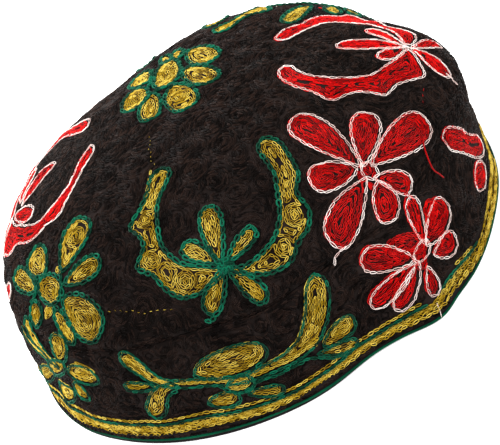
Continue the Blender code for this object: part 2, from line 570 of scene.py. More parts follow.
BACK_RIGHT_FLOWER = (
    Petal((51.5, 57), (39, 31), 7.5, 0.3),
    Petal((61, 62), (60, 45.5), 8, 0.3),
    Petal((67, 66), (72.5, 49.5), 7, 0.4),
    Petal((56, 70), (38, 66), 9, 0.8),
    Petal((64, 72), (56, 90), 11, 0.8),
    Petal((70, 70), (88, 66), 10, 0.8),
    Petal((57, 62), (66, 71), 10, 0.0),
)
BACK_LEFT_FLOWER = (
    Petal((-72, 70), (-66, 66), 8, 0.0),
    Petal((-65, 65), (-54, 58), 9, 0.6),
    Petal((-66, 71), (-55, 79), 9, 0.6),
    Petal((-70, 73), (-68, 87), 10, 0.6),
    Petal((-74, 70), (-87, 72), 9, 0.6),
    Petal((-73, 65), (-81, 55), 9, 0.6),
    Petal((-69, 64), (-68, 54), 8, 0.6),
)
BACK_FLOWER = (
    Petal((14.5, 92.5), (9, 57.5), 10, 0.7),
    Petal((18, 92), (24, 78), 7, 0.7),
    Petal((12, 93), (-5, 80), 7, 0.8),
    Petal((18, 98), (32, 104), 8, 0.9),
    Petal((14, 99), (12, 110), 7, 0.9),
)
ROSETTE = (
    Petal((-12, 38.5), (-12.5, 11), 13.5, 0.0),
    Petal((-1, 35.5), (9, 15), 11.5, 0.0),
    Petal((-4, 19), (8, -1), 11, 0.1),
    Petal((-10, 10), (-3, -13), 12.5, 0.0, fill_whorls=((-6, -2, 2.4),)),
    Petal((-19, 10.5), (-19, -10), 9.5, 0.1),
    Petal((-27.5, 23), (-25.5, 3.5), 12.5, 0.0),
    Petal((-27.2, 46.5), (-24.2, 25), 12.5, 0.0),
    Petal((-15, 50), (-11, 35), 5.5, 0.0),
    Petal((-7.5, 45.5), (-6, 33), 7, 0.0),
)

# Motifs of the band

ANTLER = (
    Stroke(
        rows=(
            (28.6, 42, 4.2),
            (27.2, 38, 5.0),
            (25.2, 33.5, 5.1),
            (22.5, 29.5, 5.0),
            (18.8, 25.5, 4.5),
            (13.5, 22.8, 3.6),
            (8.5, 21.8, 2.9),
            (3, 21.5, 2.3),
            (-4.5, 21.4, 1.8),
            (-12.5, 22, 1.5),
            (-24, 25, 1.5),
            (-31, 26.8, 1.5),
            (-36, 28.2, 1.7),
            (-40, 31, 2.1),
            (-42.8, 35.3, 2.7),
            (-45, 39.5, 3.2),
            (-46, 42.5, 2.9),
        ),
    ),
    Stroke(rows=((-34.5, 26.5, 1.8), (-39.5, 25, 2.6), (-43, 20.8, 3.4), (-45.8, 16.2, 3.4))),
    Petal((-40.5, 27.5), (-52.5, 29.5), 4.5, 0.4),
    Petal((-26, 29), (2, 30), 12, 0.0),
    Petal((-17.5, 20), (-7, 19.5), 7, 0.0),
    Petal((-25.5, 16.5), (-14, 14.5), 6.5, 0.0),
    Petal((-11, 15), (1.5, 10.5), 5, 0.4),
    Petal((20.5, 18), (36.5, 19.5), 8.5, 0.3),
    Petal((17.5, 16.5), (34, 9.5), 5, 0.5),
)
ANTLER_PATCHES = (
    Petal((13.5, 21), (21.5, 22), 4.5, 0.0),
)
BAND_FLOWER = (
    Petal((66, 26), (76.5, 25.5), 6, 0.0),
    Petal((65, 27.5), (49, 39.5), 10.5, 0.55),
    Petal((75, 28.5), (78, 44.5), 7, 0.55),
    Petal((77, 26), (92.5, 30), 12, 0.6),
    Petal((75.5, 20.5), (89, 16.5), 9, 0.5),
    Petal((70, 20.5), (67.5, 9), 6, 0.5),
    Petal((66, 23), (53, 12), 7, 0.55),
    Petal((64, 24.5), (45, 19), 8.5, 0.6),
)
BAND_PATCHES = (
    Petal((75.5, 28), (58, 36.5), 9.5, 0.0),
    Petal((80, 27.5), (86.5, 37), 8.5, 0.5),
    Petal((68, 20), (70, 28), 8, 0.0),
)
BAND_ANTLER = (
    Stroke(
        rows=(
            (110.5, 42, 3.4),
            (113.5, 39.5, 4.0),
            (119.5, 34, 4.0),
            (126, 28, 3.9),
            (133, 23, 4.0),
            (140, 18.5, 3.2),
        ),
    ),
    Petal((134, 13.5), (117, 18.5), 9.5, 0.0),
)
BAND_LEFT_FLOWER = (
    Petal((-99, 23), (-78, 36.5), 6.5, 0.0),
    Petal((-80, 36.5), (-72.8, 50.3), 7.8, 0.1),
    Petal((-77.7, 32.5), (-62.5, 33.5), 9.5, 0.1),
    Petal((-75.8, 28.5), (-75.8, 19), 7, 0.1),
    Petal((-80.5, 22.5), (-95, 14.5), 9, 0.1),
    Petal((-94.5, 25.5), (-112.5, 13.5), 6.5, 0.1),
    Stroke(rows=((-84, 34, 2.0), (-88.5, 38.5, 3.0), (-92.5, 43.5, 3.0), (-93.5, 50, 2.0))),
    Stroke(rows=((-91.5, 32.5, 1.8), (-97, 36.5, 3.0), (-101, 42, 2.4))),
)
BAND_LEFT_PATCHES = (
    Petal((-71.5, 39.5), (-62, 35), 4.5, 0.0),
)

# Threads and stitches


@dataclass(frozen=True)
class Stitch:
    """One kind of chain stitch, in millimetres.

    Stand is how far its middle stands off the cloth, first how far the first row of a filling lies
    inside its outline, and gap how much room a last row needs.
    """

    pitch: float
    breadth: float
    thread: float
    overlap: float
    stand: float
    first: float = 1.3
    spacing: float = 1.25
    ring_sides: int = 8
    thread_sides: int = 3
    jitter: float = 0.08
    gap: float = 0.72


GOLD_STITCH = Stitch(
    pitch=2.5, breadth=1.22, thread=0.36, overlap=0.55, stand=0.30, first=1.2, spacing=1.2, jitter=0.05
)
RED_STITCH = Stitch(
    pitch=2.3, breadth=1.0, thread=0.36, overlap=0.5, stand=0.30, first=0.6, spacing=0.98, jitter=0.14
)
EDGE_STITCH = Stitch(pitch=2.9, breadth=2.1, thread=0.78, overlap=0.8, stand=0.5, thread_sides=4)
WHITE_STITCH = Stitch(pitch=3.1, breadth=1.08, thread=0.28, overlap=0.5, stand=0.42, thread_sides=4)
GROUND_STITCH = Stitch(
    pitch=2.85, breadth=0.98, thread=0.38, overlap=0.5, stand=0.2, first=1.25, spacing=0.88, ring_sides=5
)
BRAID_STITCH = Stitch(pitch=2.2, breadth=1.25, thread=0.5, overlap=0.5, stand=0.2, ring_sides=6)
TACK_STITCH = Stitch(
    pitch=2.4, breadth=0.22, thread=0.21, overlap=-1.3, stand=0.5, ring_sides=6, jitter=0.3
)
BAND_GOLD_STITCH = replace(GOLD_STITCH, first=0.8)
RIM_STITCH = replace(GOLD_STITCH, breadth=1.5, thread=0.42)
BAND_EDGE_STITCH = replace(EDGE_STITCH, pitch=2.7, breadth=1.5, thread=0.54, stand=0.6)


@dataclass(frozen=True)
class Thread:
    """A dyed thread: dark, middle and light sRGB colours, sheen and roughness."""

    name: str
    dark: Colour
    middle: Colour
    light: Colour
    sheen: float = 0.04
    specular: float = 0.25
    roughness: float = 0.5


GOLD = Thread("gold_thread", (88, 60, 0), (174, 140, 20), (224, 196, 82), specular=0.05)
GREEN = Thread("green_thread", (0, 26, 17), (0, 58, 39), (4, 92, 66), specular=0.03)
RED = Thread("red_thread", (96, 0, 1), (176, 0, 2), (224, 12, 10), specular=0.025)
WHITE = Thread("white_thread", (184, 148, 142), (226, 200, 192), (250, 238, 232), specular=0.1)
BLACK = Thread(
    "black_thread", (4, 2, 1), (14, 8, 6), (44, 31, 26), sheen=0.015, specular=0.035, roughness=0.4
)


@dataclass(frozen=True)
class Motif:
    """Shapes of one chart with the threads that fill and outline them; patches have no outline."""

    name: str
    chart: Chart
    shapes: tuple[Shape, ...]
    fill: Thread
    edge: Thread
    patches: tuple[Shape, ...] = ()
    cleared: float = 0.4

    @property
    def slip(self) -> Pair:
        """How far the filling sits from the middle of its outline, towards the cap's left and up."""
        if self.chart is Chart.BAND:
            return (-0.6, 0.8) if self.fill is GOLD else (-0.8, 1.2)
        return (-0.45, 0.05) if self.fill is GOLD else (-0.95, -0.05)

    @property
    def stitches(self) -> tuple[Stitch, Stitch]:
        """The stitches of the filling and of the outline."""
        on_band = self.chart is Chart.BAND
        gold, green = (BAND_GOLD_STITCH, BAND_EDGE_STITCH) if on_band else (GOLD_STITCH, EDGE_STITCH)
        fill = gold if self.fill is GOLD else RED_STITCH
        return fill, green if self.edge is GREEN else WHITE_STITCH

    def loops(self) -> list[np.ndarray]:
        """The outlines, and the same shifted part of the way to the filling; the ground keeps clear."""
        outlines = [shape.outline() for shape in self.shapes + self.patches]
        return outlines + [outline + np.array(self.slip) * self.cleared for outline in outlines]


@dataclass(frozen=True)
class Accent:
    """A single line of stitches through its spots."""

    chart: Chart
    thread: Thread
    stitch: Stitch
    spots: tuple[Pair, ...]


ACCENTS = (
    Accent(
        Chart.BAND,
        GREEN,
        BAND_EDGE_STITCH,
        ((-20, 22.5), (-16, 18.5), (-11, 16.5), (-5.5, 18.5), (1, 17.5)),
    ),
    Accent(
        Chart.BAND,
        GREEN,
        BAND_EDGE_STITCH,
        ((1, 17.5), (9, 17.5), (15, 16.5), (22, 11.5), (26, 9.5), (31, 8.5)),
    ),
    Accent(
        Chart.CROWN, GREEN, EDGE_STITCH, ((-5, -94), (-1, -92), (2, -95), (-2.5, -97), (-5, -94))
    ),
    Accent(
        Chart.CROWN,
        WHITE,
        WHITE_STITCH,
        ((54, -98.5), (51, -100.5), (48, -101), (47.5, -103.5), (47.5, -106)),
    ),
    Accent(Chart.CROWN, GREEN, EDGE_STITCH, ((-67, -55), (-68, -61), (-69.5, -66))),
    Accent(Chart.CROWN, GREEN, EDGE_STITCH, ((-80, -48), (-83, -54), (-87, -54))),
    Accent(Chart.CROWN, WHITE, WHITE_STITCH, ((104, -10), (108, -11), (111, -11))),
    Accent(Chart.CROWN, GREEN, EDGE_STITCH, ((-17.5, -110.5), (-15, -111.5), (-12.5, -110.5))),
    Accent(
        Chart.CROWN,
        GREEN,
        EDGE_STITCH,
        ((-4.5, 40), (-6, 28.5), (-5, 16), (-9.5, 11.5), (-18, 10.5)),
    ),
    Accent(Chart.CROWN, GREEN, EDGE_STITCH, ((-20, 38.5), (-20.5, 26), (-21, 15), (-19.5, 7))),
    Accent(Chart.CROWN, GOLD, GOLD_STITCH, ((-22, -39.5), (-23.5, -45.5), (-26, -52))),
    Accent(Chart.CROWN, RED, RED_STITCH, ((54, 52.5), (56, 50.5))),
    Accent(Chart.CROWN, GOLD, TACK_STITCH, ((-20.5, -19), (-21, -29), (-20, -39))),
    Accent(Chart.CROWN, GOLD, TACK_STITCH, ((-53, -83.5), (-45, -90.5), (-37, -95.5), (-28, -99.5))),
    Accent(Chart.CROWN, RED, TACK_STITCH, ((93, -25), (93.5, -34))),
)

HALF_RIM = 286

MOTIFS = (
    Motif("front crescent", Chart.CROWN, FRONT_CRESCENT, GOLD, GREEN),
    Motif("front flower", Chart.CROWN, FRONT_FLOWER, GOLD, GREEN),
    Motif("back crescent", Chart.CROWN, set_moved(FRONT_CRESCENT, 160, (-19, 7.5)), GOLD, GREEN),
    Motif("back flower", Chart.CROWN, BACK_FLOWER, GOLD, GREEN),
    Motif("right crescent", Chart.CROWN, RIGHT_CRESCENT, RED, WHITE),
    Motif("right flower", Chart.CROWN, RIGHT_FLOWER, RED, WHITE),
    Motif("left crescent", Chart.CROWN, LEFT_CRESCENT, RED, WHITE),
    Motif("left flower", Chart.CROWN, LEFT_FLOWER, RED, WHITE),
    Motif("front left flower", Chart.CROWN, FRONT_LEFT_FLOWER, GOLD, GREEN, FRONT_LEFT_PATCHES),
    Motif("front right flower", Chart.CROWN, FRONT_RIGHT_FLOWER, RED, WHITE, FRONT_RIGHT_PATCHES),
    Motif("back right flower", Chart.CROWN, BACK_RIGHT_FLOWER, GOLD, GREEN),
    Motif("back left flower", Chart.CROWN, BACK_LEFT_FLOWER, RED, WHITE),
    Motif("rosette", Chart.CROWN, ROSETTE, GOLD, GREEN),
    Motif("antler", Chart.BAND, ANTLER, GOLD, GREEN, ANTLER_PATCHES),
    Motif("band flower", Chart.BAND, BAND_FLOWER, RED, WHITE, BAND_PATCHES),
    Motif("band antler", Chart.BAND, BAND_ANTLER, RED, WHITE),
    Motif("band left flower", Chart.BAND, BAND_LEFT_FLOWER, GOLD, GREEN, BAND_LEFT_PATCHES),
    Motif("antler, back", Chart.BAND, set_moved(ANTLER, 0, (-HALF_RIM, 0)), GOLD, GREEN),
    Motif("band flower, back", Chart.BAND, set_moved(BAND_FLOWER, 0, (-HALF_RIM, 0)), RED, WHITE),
    Motif("band antler, back", Chart.BAND, set_moved(BAND_ANTLER, 0, (-HALF_RIM, 0)), RED, WHITE),
    Motif(
        "band left flower, back",
        Chart.BAND,
        set_moved(BAND_LEFT_FLOWER, 0, (HALF_RIM, 0)),
        GOLD,
        GREEN,
    ),
)


# Stripe round the rim


@dataclass(frozen=True)
class StripeSpan:
    """The gold stripe at one azimuth (degrees): its edges' heights and its trim's reach above them."""

    azimuth: float
    lower: float
    upper: float
    trim: float = 3.1


STRIPE = (
    StripeSpan(-180, lower=4.7, upper=9.6),
    StripeSpan(-60, lower=4.7, upper=9.4),
    StripeSpan(-31, lower=4.5, upper=8.9),
    StripeSpan(-19, lower=5.6, upper=9.9),
    StripeSpan(-8, lower=4.4, upper=7.8),
    StripeSpan(0, lower=4.2, upper=6.4),
    StripeSpan(6, lower=4.9, upper=6.9),
    StripeSpan(13, lower=4.6, upper=7.3),
    StripeSpan(23, lower=4.4, upper=7.0),
    StripeSpan(31, lower=4.0, upper=6.7),
    StripeSpan(37, lower=3.9, upper=7.8),
    StripeSpan(42, lower=3.9, upper=8.4, trim=1.2),
    StripeSpan(48, lower=4.4, upper=9.0),
    StripeSpan(54, lower=3.0, upper=8.4),
    StripeSpan(59, lower=1.9, upper=6.1),
    StripeSpan(63, lower=1.7, upper=5.7),
    StripeSpan(74, lower=2.5, upper=6.3, trim=0.9),
    StripeSpan(80, lower=2.0, upper=8.6, trim=0.9),
    StripeSpan(90, lower=2.8, upper=9.2, trim=0.9),
    StripeSpan(97, lower=5.0, upper=14.0, trim=0.9),
    StripeSpan(112, lower=4.7, upper=13.0, trim=0.9),
    StripeSpan(135, lower=4.7, upper=9.6),
    StripeSpan(180, lower=4.7, upper=9.6),
)


def stripe_edges(azimuth: np.ndarray) -> tuple[np.ndarray, np.ndarray, np.ndarray]:
    """The stripe's lower edge, upper edge and the top of its trim, in millimetres, softly joined.

    Args:
        azimuth: radians from the front.

    Returns:
        The three heights over the rim at each azimuth.
    """
    turn = np.degrees(azimuth)
    at = [span.azimuth for span in STRIPE]

    def height(values: list[float]) -> np.ndarray:
        """The values between the spans, averaged over a few degrees."""
        return sum(np.interp(turn + aside, at, values, period=360) for aside in (-3, 0, 3)) / 3

    lower = height([span.lower for span in STRIPE])
    upper = height([span.upper for span in STRIPE])
    return lower, upper, upper + height([span.trim for span in STRIPE])


# Rows of stitches from distance fields


def level_lines(values: np.ndarray, level: float) -> list[np.ndarray]:
    """Lines where a grid of values crosses a level.

    Args:
        values: the grid, rows by columns.
        level: the value to follow.

    Returns:
        Lines of (column, row) places in grid units.
    """
    rows, columns = values.shape
    above = values > level
    across = above[:, 1:] != above[:, :-1]
    upright = above[1:, :] != above[:-1, :]
    spots: dict[int, Pair] = {}
    for row, column in zip(*np.nonzero(across)):
        a, b = values[row, column], values[row, column + 1]
        spots[2 * (row * columns + column)] = (column + (level - a) / (b - a), float(row))
    for row, column in zip(*np.nonzero(upright)):
        a, b = values[row, column], values[row + 1, column]
        spots[2 * (row * columns + column) + 1] = (float(column), row + (level - a) / (b - a))
    sides = across[:-1, :].astype(int) + across[1:, :] + upright[:, :-1] + upright[:, 1:]
    joins: dict[int, list[int]] = {}
    for row, column in zip(*np.nonzero(sides)):
        cell = row * columns + column
        edges = (2 * cell, 2 * cell + 3, 2 * (cell + columns), 2 * cell + 1)
        crossed = [edge for edge in edges if edge in spots]
        for a, b in zip(crossed[::2], crossed[1::2]):
            joins.setdefault(a, []).append(b)
            joins.setdefault(b, []).append(a)
    lines = []
    ends = [edge for edge, others in joins.items() if len(others) == 1]
    for start in ends + list(joins):
        if not joins.get(start):
            continue
        line, here = [start], start
        while joins[here]:
            there = joins[here].pop()
            joins[there].remove(here)
            line.append(there)
            here = there
        lines.append(np.array([spots[edge] for edge in line]))
    return lines


def relaxed(line: np.ndarray, passes: int = 2) -> np.ndarray:
    """The line with its small steps smoothed away."""
    closed = len(line) > 4 and np.allclose(line[0], line[-1])
    for _ in range(passes):
        if closed:
            body = line[:-1]
            body = (np.roll(body, 1, axis=0) + 2 * body + np.roll(body, -1, axis=0)) / 4
            line = np.concatenate([body, body[:1]])
        elif len(line) > 2:
            line = np.concatenate([line[:1], (line[:-2] + 2 * line[1:-1] + line[2:]) / 4, line[-1:]])
    return line


def tree_of(points: np.ndarray) -> KDTree:
    """A search tree over points."""
    tree = KDTree(len(points))
    for index, point in enumerate(points):
        tree.insert(point, index)
    tree.balance()
    return tree


def distances(tree: KDTree, points: np.ndarray) -> np.ndarray:
    """How far each point is from the nearest one of the tree."""
    flat = points.reshape(-1, 3)
    found = np.fromiter((tree.find(point)[2] for point in flat), float, len(flat))
    return found.reshape(points.shape[:-1])


def inside(loop: np.ndarray, spots: np.ndarray) -> np.ndarray:
    """Which spots lie inside a closed loop of a chart."""
    result = np.zeros(spots.shape[:-1], bool)
    x, y = spots[..., 0], spots[..., 1]
    low, high = loop.min(axis=0), loop.max(axis=0)
    box = (x >= low[0]) & (x <= high[0]) & (y >= low[1]) & (y <= high[1])
    x, y = x[box], y[box]
    hits = np.zeros(len(x), bool)
    for (x0, y0), (x1, y1) in zip(loop, np.roll(loop, -1, axis=0)):
        if y0 != y1:
            straddle = (y0 > y) != (y1 > y)
            hits ^= straddle & (x < (x1 - x0) * (y - y0) / (y1 - y0) + x0)
    result[box] = hits
    return result


def ring(x: float, y: float, radius: float) -> np.ndarray:
    """A closed circle of a chart."""
    turn = np.linspace(0, 2 * math.pi, max(12, int(radius * 12)))
    return np.stack([x + radius * np.cos(turn), y + radius * np.sin(turn)], axis=1)


@dataclass
class Row:
    """A row of stitches on a chart."""

    chart: Chart
    line: np.ndarray


@dataclass
class Filling:
    """Rows that fill one shape, following its outline and any whorls inside it.

    Cell is the side of the grid's cells and shallow the depth that only a single row fits, both in
    millimetres. Narrow, centred and shortest_core are shares of the rows' spacing or pitch, and
    spine_reach is how far a spine runs past its ends, as a share of the steps between its rows.
    """

    chart: Chart
    shape: Shape
    stitch: Stitch
    slip: Pair = (0.0, 0.0)
    cell: float = 0.4
    narrow: float = 0.75
    centred: float = 0.5
    shallow: float = 0.3
    shortest_core: float = 0.8
    spine_reach: float = 0.4
    spine_points: int = 60

    def spine(self) -> list[Row]:
        """A single row along the parts of a stroke that are too narrow for rows on both sides."""
        if not isinstance(self.shape, Stroke):
            return []
        rows = np.array(self.shape.rows)
        narrow = rows[:, 2] < self.stitch.first + self.stitch.spacing * self.narrow
        cuts = np.flatnonzero(np.diff(narrow.astype(int))) + 1
        runs = [run for run in np.split(np.arange(len(rows)), cuts) if narrow[run[0]] and len(run) > 1]
        result = []
        for run in runs:
            first, last = run[0] - self.spine_reach, run[-1] + self.spine_reach
            at = np.clip(np.linspace(first, last, self.spine_points), 0, len(rows) - 1)
            line = between(at, np.arange(len(rows)), rows[:, :2])
            result.append(Row(self.chart, line + self.slip))
        return result

    def core(self, values: np.ndarray, level: float, low: np.ndarray) -> list[Row]:
        """A single row down the middle of a petal, where a field over it passes the level."""
        if not isinstance(self.shape, Petal) or self.shape.fill_whorls:
            return []
        loop = self.shape.outline()
        middle = (loop + np.roll(loop[::-1], 1, axis=0))[: len(loop) // 2] / 2 + self.slip
        column, row = np.round((middle - low) / self.cell).astype(int).T
        deep = np.flatnonzero(values[row, column] > level)
        if len(deep) < 2:
            return []
        line = middle[deep[0] : deep[-1] + 1]
        reach = np.linalg.norm(line[-1] - line[0])
        return [Row(self.chart, line)] if reach > self.stitch.pitch * self.shortest_core else []

    def rows(self) -> list[Row]:
        """The rows, from the outline inwards."""
        loop = self.shape.outline() + self.slip
        low, high = loop.min(axis=0) - 1, loop.max(axis=0) + 1
        xs = np.arange(low[0], high[0], self.cell)
        ys = np.arange(low[1], high[1], self.cell)
        spots = np.stack(np.meshgrid(xs, ys), axis=-1)
        places = self.chart.surface(spots)[0]
        dense = np.concatenate([loop, (loop + np.roll(loop, 1, axis=0)) / 2])
        depth = distances(tree_of(self.chart.surface(dense)[0]), places)
        field_values = np.where(inside(loop, spots), depth, -depth) - self.stitch.first
        rows = self.spine()
        for x, y, radius in self.shape.fill_whorls:
            circle = ring(x, y, radius)
            near = distances(tree_of(self.chart.surface(circle)[0]), places) - self.stitch.spacing
            field_values = np.minimum(field_values, near)
            rows.append(Row(self.chart, circle))
        deepest = field_values.max() - self.shallow
        levels = [0.0]
        if deepest < 0 and not rows:
            levels = [max(deepest, -self.stitch.first * self.narrow)]
        elif deepest > self.shallow:
            levels = np.linspace(0, deepest, 1 + max(1, round(deepest / self.stitch.spacing)))
            core = self.core(field_values, levels[-2] + self.stitch.spacing * self.centred, low)
            levels = levels[:-1] if core else levels
            rows += core
        for level in levels:
            rows += self.along(field_values, level, low)
        laid = self.chart.surface(np.concatenate([row.line for row in rows] or [loop]))[0]
        gap = np.minimum(distances(tree_of(laid), places), np.where(inside(loop, spots), depth, 0))
        return rows + self.along(gap, self.stitch.gap, low)

    def along(self, values: np.ndarray, level: float, low: np.ndarray) -> list[Row]:
        """Rows that follow one level of a field over the shape."""
        lines = [line for line in level_lines(values, level) if len(line) > 4]
        return [Row(self.chart, low + relaxed(line) * self.cell) for line in lines]


@dataclass
class Ground:
    """The black rows round the motifs of one chart, in millimetres.

    Whorls are scattered where the room is over the least, with radii between two limits and a
    stretch between two shares.
    """

    chart: Chart
    loops: list[np.ndarray]
    stitch: Stitch
    whorls: int
    seed: int
    cell: float = 0.5
    edge_first: float = 0.5
    edge_inset: float = 0.1
    lowest: float = 5.0
    border_points: int = 1600
    least_room: float = 3.6
    whorl_margin: float = 2.0
    whorl_radii: Pair = (1.6, 5.2)
    least_radius: float = 1.3
    whorl_gap: float = 1.6
    whorl_stretch: Pair = (0.75, 1.25)
    tries: int = 12

    def grid(self) -> np.ndarray:
        """Spots of the chart, rows by columns by two."""
        if self.chart is Chart.CROWN:
            half = FORM.crown_length + 1
            side = np.arange(-half, half, self.cell)
            return np.stack(np.meshgrid(side, side), axis=-1)
        half = math.pi * FORM.rim_radius
        us = np.arange(-half, half, self.cell)
        vs = np.arange(self.lowest, FORM.seam_height + 1, self.cell)
        return np.stack(np.meshgrid(us, vs), axis=-1)

    def stripe_top(self, turn: np.ndarray) -> np.ndarray:
        """Where the stripe round the rim ends on the band's chart, at azimuths in radians."""
        return stripe_edges(turn)[2] * FORM.seam_height / FORM.seam(turn)

    def borders(self) -> list[np.ndarray]:
        """Lines at the chart's edges: the seam, and the top of the stripe round the rim."""
        turn = np.linspace(-math.pi, math.pi, self.border_points)
        if self.chart is Chart.CROWN:
            edge = FORM.crown_length - self.edge_inset
            return [np.stack([edge * np.sin(turn), -edge * np.cos(turn)], axis=1)]
        top = np.full_like(turn, FORM.seam_height - self.edge_inset)
        return [np.stack([turn * FORM.rim_radius, v], axis=1) for v in (top, self.stripe_top(turn))]

    def outside(self, spots: np.ndarray) -> np.ndarray:
        """Which spots lie beyond the chart's edges."""
        if self.chart is Chart.CROWN:
            return np.hypot(spots[..., 0], spots[..., 1]) > FORM.crown_length - self.edge_inset
        stripe = self.stripe_top(spots[..., 0] / FORM.rim_radius)
        return (spots[..., 1] > FORM.seam_height - self.edge_inset) | (spots[..., 1] < stripe)

    def rows(self) -> list[Row]:
        """All the rows, from the motifs outwards and round scattered whorls."""
        spots = self.grid()
        places = self.chart.surface(spots)[0]
        sites = np.concatenate(self.loops)
        depth = distances(tree_of(self.chart.surface(sites)[0]), places)
        edges = distances(tree_of(self.chart.surface(np.concatenate(self.borders()))[0]), places)
        depth = np.minimum(depth, edges + self.stitch.first - self.edge_first)
        covered = self.outside(spots)
        for loop in self.loops:
            covered |= inside(loop, spots)
        depth = np.where(covered, -depth, depth)
        circles = self.scattered(spots, depth)
        values = depth - self.stitch.first
        rows = []
        if circles:
            sites = self.chart.surface(np.concatenate(circles))[0]
            near = distances(tree_of(sites), places) - self.stitch.spacing
            values = np.minimum(values, near)
            rows = [Row(self.chart, circle) for circle in circles]
        start = spots[0, 0]
        for level in np.arange(0, values.max(), self.stitch.spacing):
            for line in level_lines(values, level):
                if len(line) > 5:
                    rows.append(Row(self.chart, start + relaxed(line) * self.cell))
        return rows

    def scattered(self, spots: np.ndarray, depth: np.ndarray) -> list[np.ndarray]:
        """Rings where the black rows curl, away from the motifs and from one another."""
        draws = np.random.default_rng(self.seed)
        open_spots = np.argwhere(depth > self.least_room)
        chosen: list[Triple] = []
        for _ in range(self.whorls * self.tries):
            row, column = open_spots[draws.integers(len(open_spots))]
            x, y = spots[row, column]
            radius = min(depth[row, column] - self.whorl_margin, draws.uniform(*self.whorl_radii))
            if radius < self.least_radius:
                continue
            if all(math.hypot(x - a, y - b) > radius + r + self.whorl_gap for a, b, r in chosen):
                chosen.append((x, y, radius))
            if len(chosen) == self.whorls:
                break
        rings = []
        for x, y, radius in chosen:
            circle = ring(x, y, radius)
            stretch = draws.uniform(*self.whorl_stretch)
            turn = draws.uniform(0, math.pi)
            c, s = math.cos(turn), math.sin(turn)
            offset = (circle - (x, y)) @ np.array([[c, -s], [s, c]]) * (stretch, 1 / stretch)
            rings.append(offset @ np.array([[c, s], [-s, c]]) + (x, y))
        return rings


GROUND_WHORLS = {Chart.CROWN: 95, Chart.BAND: 50}
GROUND_SEEDS = {Chart.CROWN: 3, Chart.BAND: 5}


# Pieces


def smooth_mesh(name: str, body: bmesh.types.BMesh, merge: float) -> bpy.types.Mesh:
    """A smooth mesh from a body, which is freed; vertices nearer than merge (metres) become one."""
    bmesh.ops.remove_doubles(body, verts=body.verts, dist=merge)
    bmesh.ops.recalc_face_normals(body, faces=body.faces)
    mesh = bpy.data.meshes.new(name)
    body.to_mesh(mesh)
    body.free()
    mesh.polygons.foreach_set("use_smooth", np.ones(len(mesh.polygons), bool))
    return mesh


def piece(mesh: bpy.types.Mesh, material: bpy.types.Material) -> bpy.types.Object:
    """A piece of the cap from its mesh, under the same name."""
    mesh.materials.append(material)
    obj = bpy.data.objects.new(mesh.name, mesh)
    bpy.context.scene.collection.objects.link(obj)
    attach(obj, BODY)
    return obj


# Links


@dataclass(frozen=True)
class Hand:
    """How unevenly a hand lays links: nudge and shortest are shares of the pitch, tilt of the thread.

    Turn (radians), length and height (millimetres) and breadth (a share) are spreads of draws.
    """

    nudge: float = 0.12
    shortest: float = 0.45
    turn: float = 0.07
    length: float = 0.06
    breadth: float = 0.12
    height: float = 0.04
    tilt: float = 0.55
    most_triangles: int = 190000


HAND = Hand()


@dataclass(frozen=True)
class Link:
    """A ring of thread, ready to be laid many times."""

    centres: np.ndarray
    offsets: np.ndarray
    faces: np.ndarray
    wraps: np.ndarray

    @classmethod
    def of(cls, stitch: Stitch) -> "Link":
        """The ring for a stitch: a spun circle, split into its centre line and the thread's section."""
        radius, mean_width, flare = 4, 0.92, 0.28
        body = bmesh.new()
        turned = Matrix.Translation((radius, 0, 0)) @ Matrix.Rotation(math.pi / 2, 4, "X")
        bmesh.ops.create_circle(body, segments=stitch.thread_sides, radius=1, matrix=turned)
        bmesh.ops.spin(
            body,
            geom=body.verts[:] + body.edges[:],
            cent=(0, 0, 0),
            axis=(0, 0, 1),
            angle=2 * math.pi,
            steps=stitch.ring_sides,
            use_merge=True,
        )
        bmesh.ops.recalc_face_normals(body, faces=body.faces)
        body.verts.index_update()
        co = np.array([vert.co for vert in body.verts])
        # The spin gives its faces in no fixed order, so they are sorted and each run gives the same.
        faces = np.array(sorted([vert.index for vert in face.verts] for face in body.faces))
        body.free()
        turn = np.arctan2(co[:, 1], co[:, 0])
        spine = np.stack([radius * np.cos(turn), radius * np.sin(turn), np.zeros(len(co))], axis=1)
        offsets = (co - spine) / 2
        along = np.cos(turn) / 2
        across = np.sin(turn) / 2 * (mean_width + flare * np.cos(turn))
        tilt = along
        centres = np.stack([along, across, tilt], axis=1)
        wraps = np.stack([turn / (2 * math.pi), np.arctan2(co[:, 2], 1.0)], axis=1)
        return cls(centres, offsets, faces, wraps)


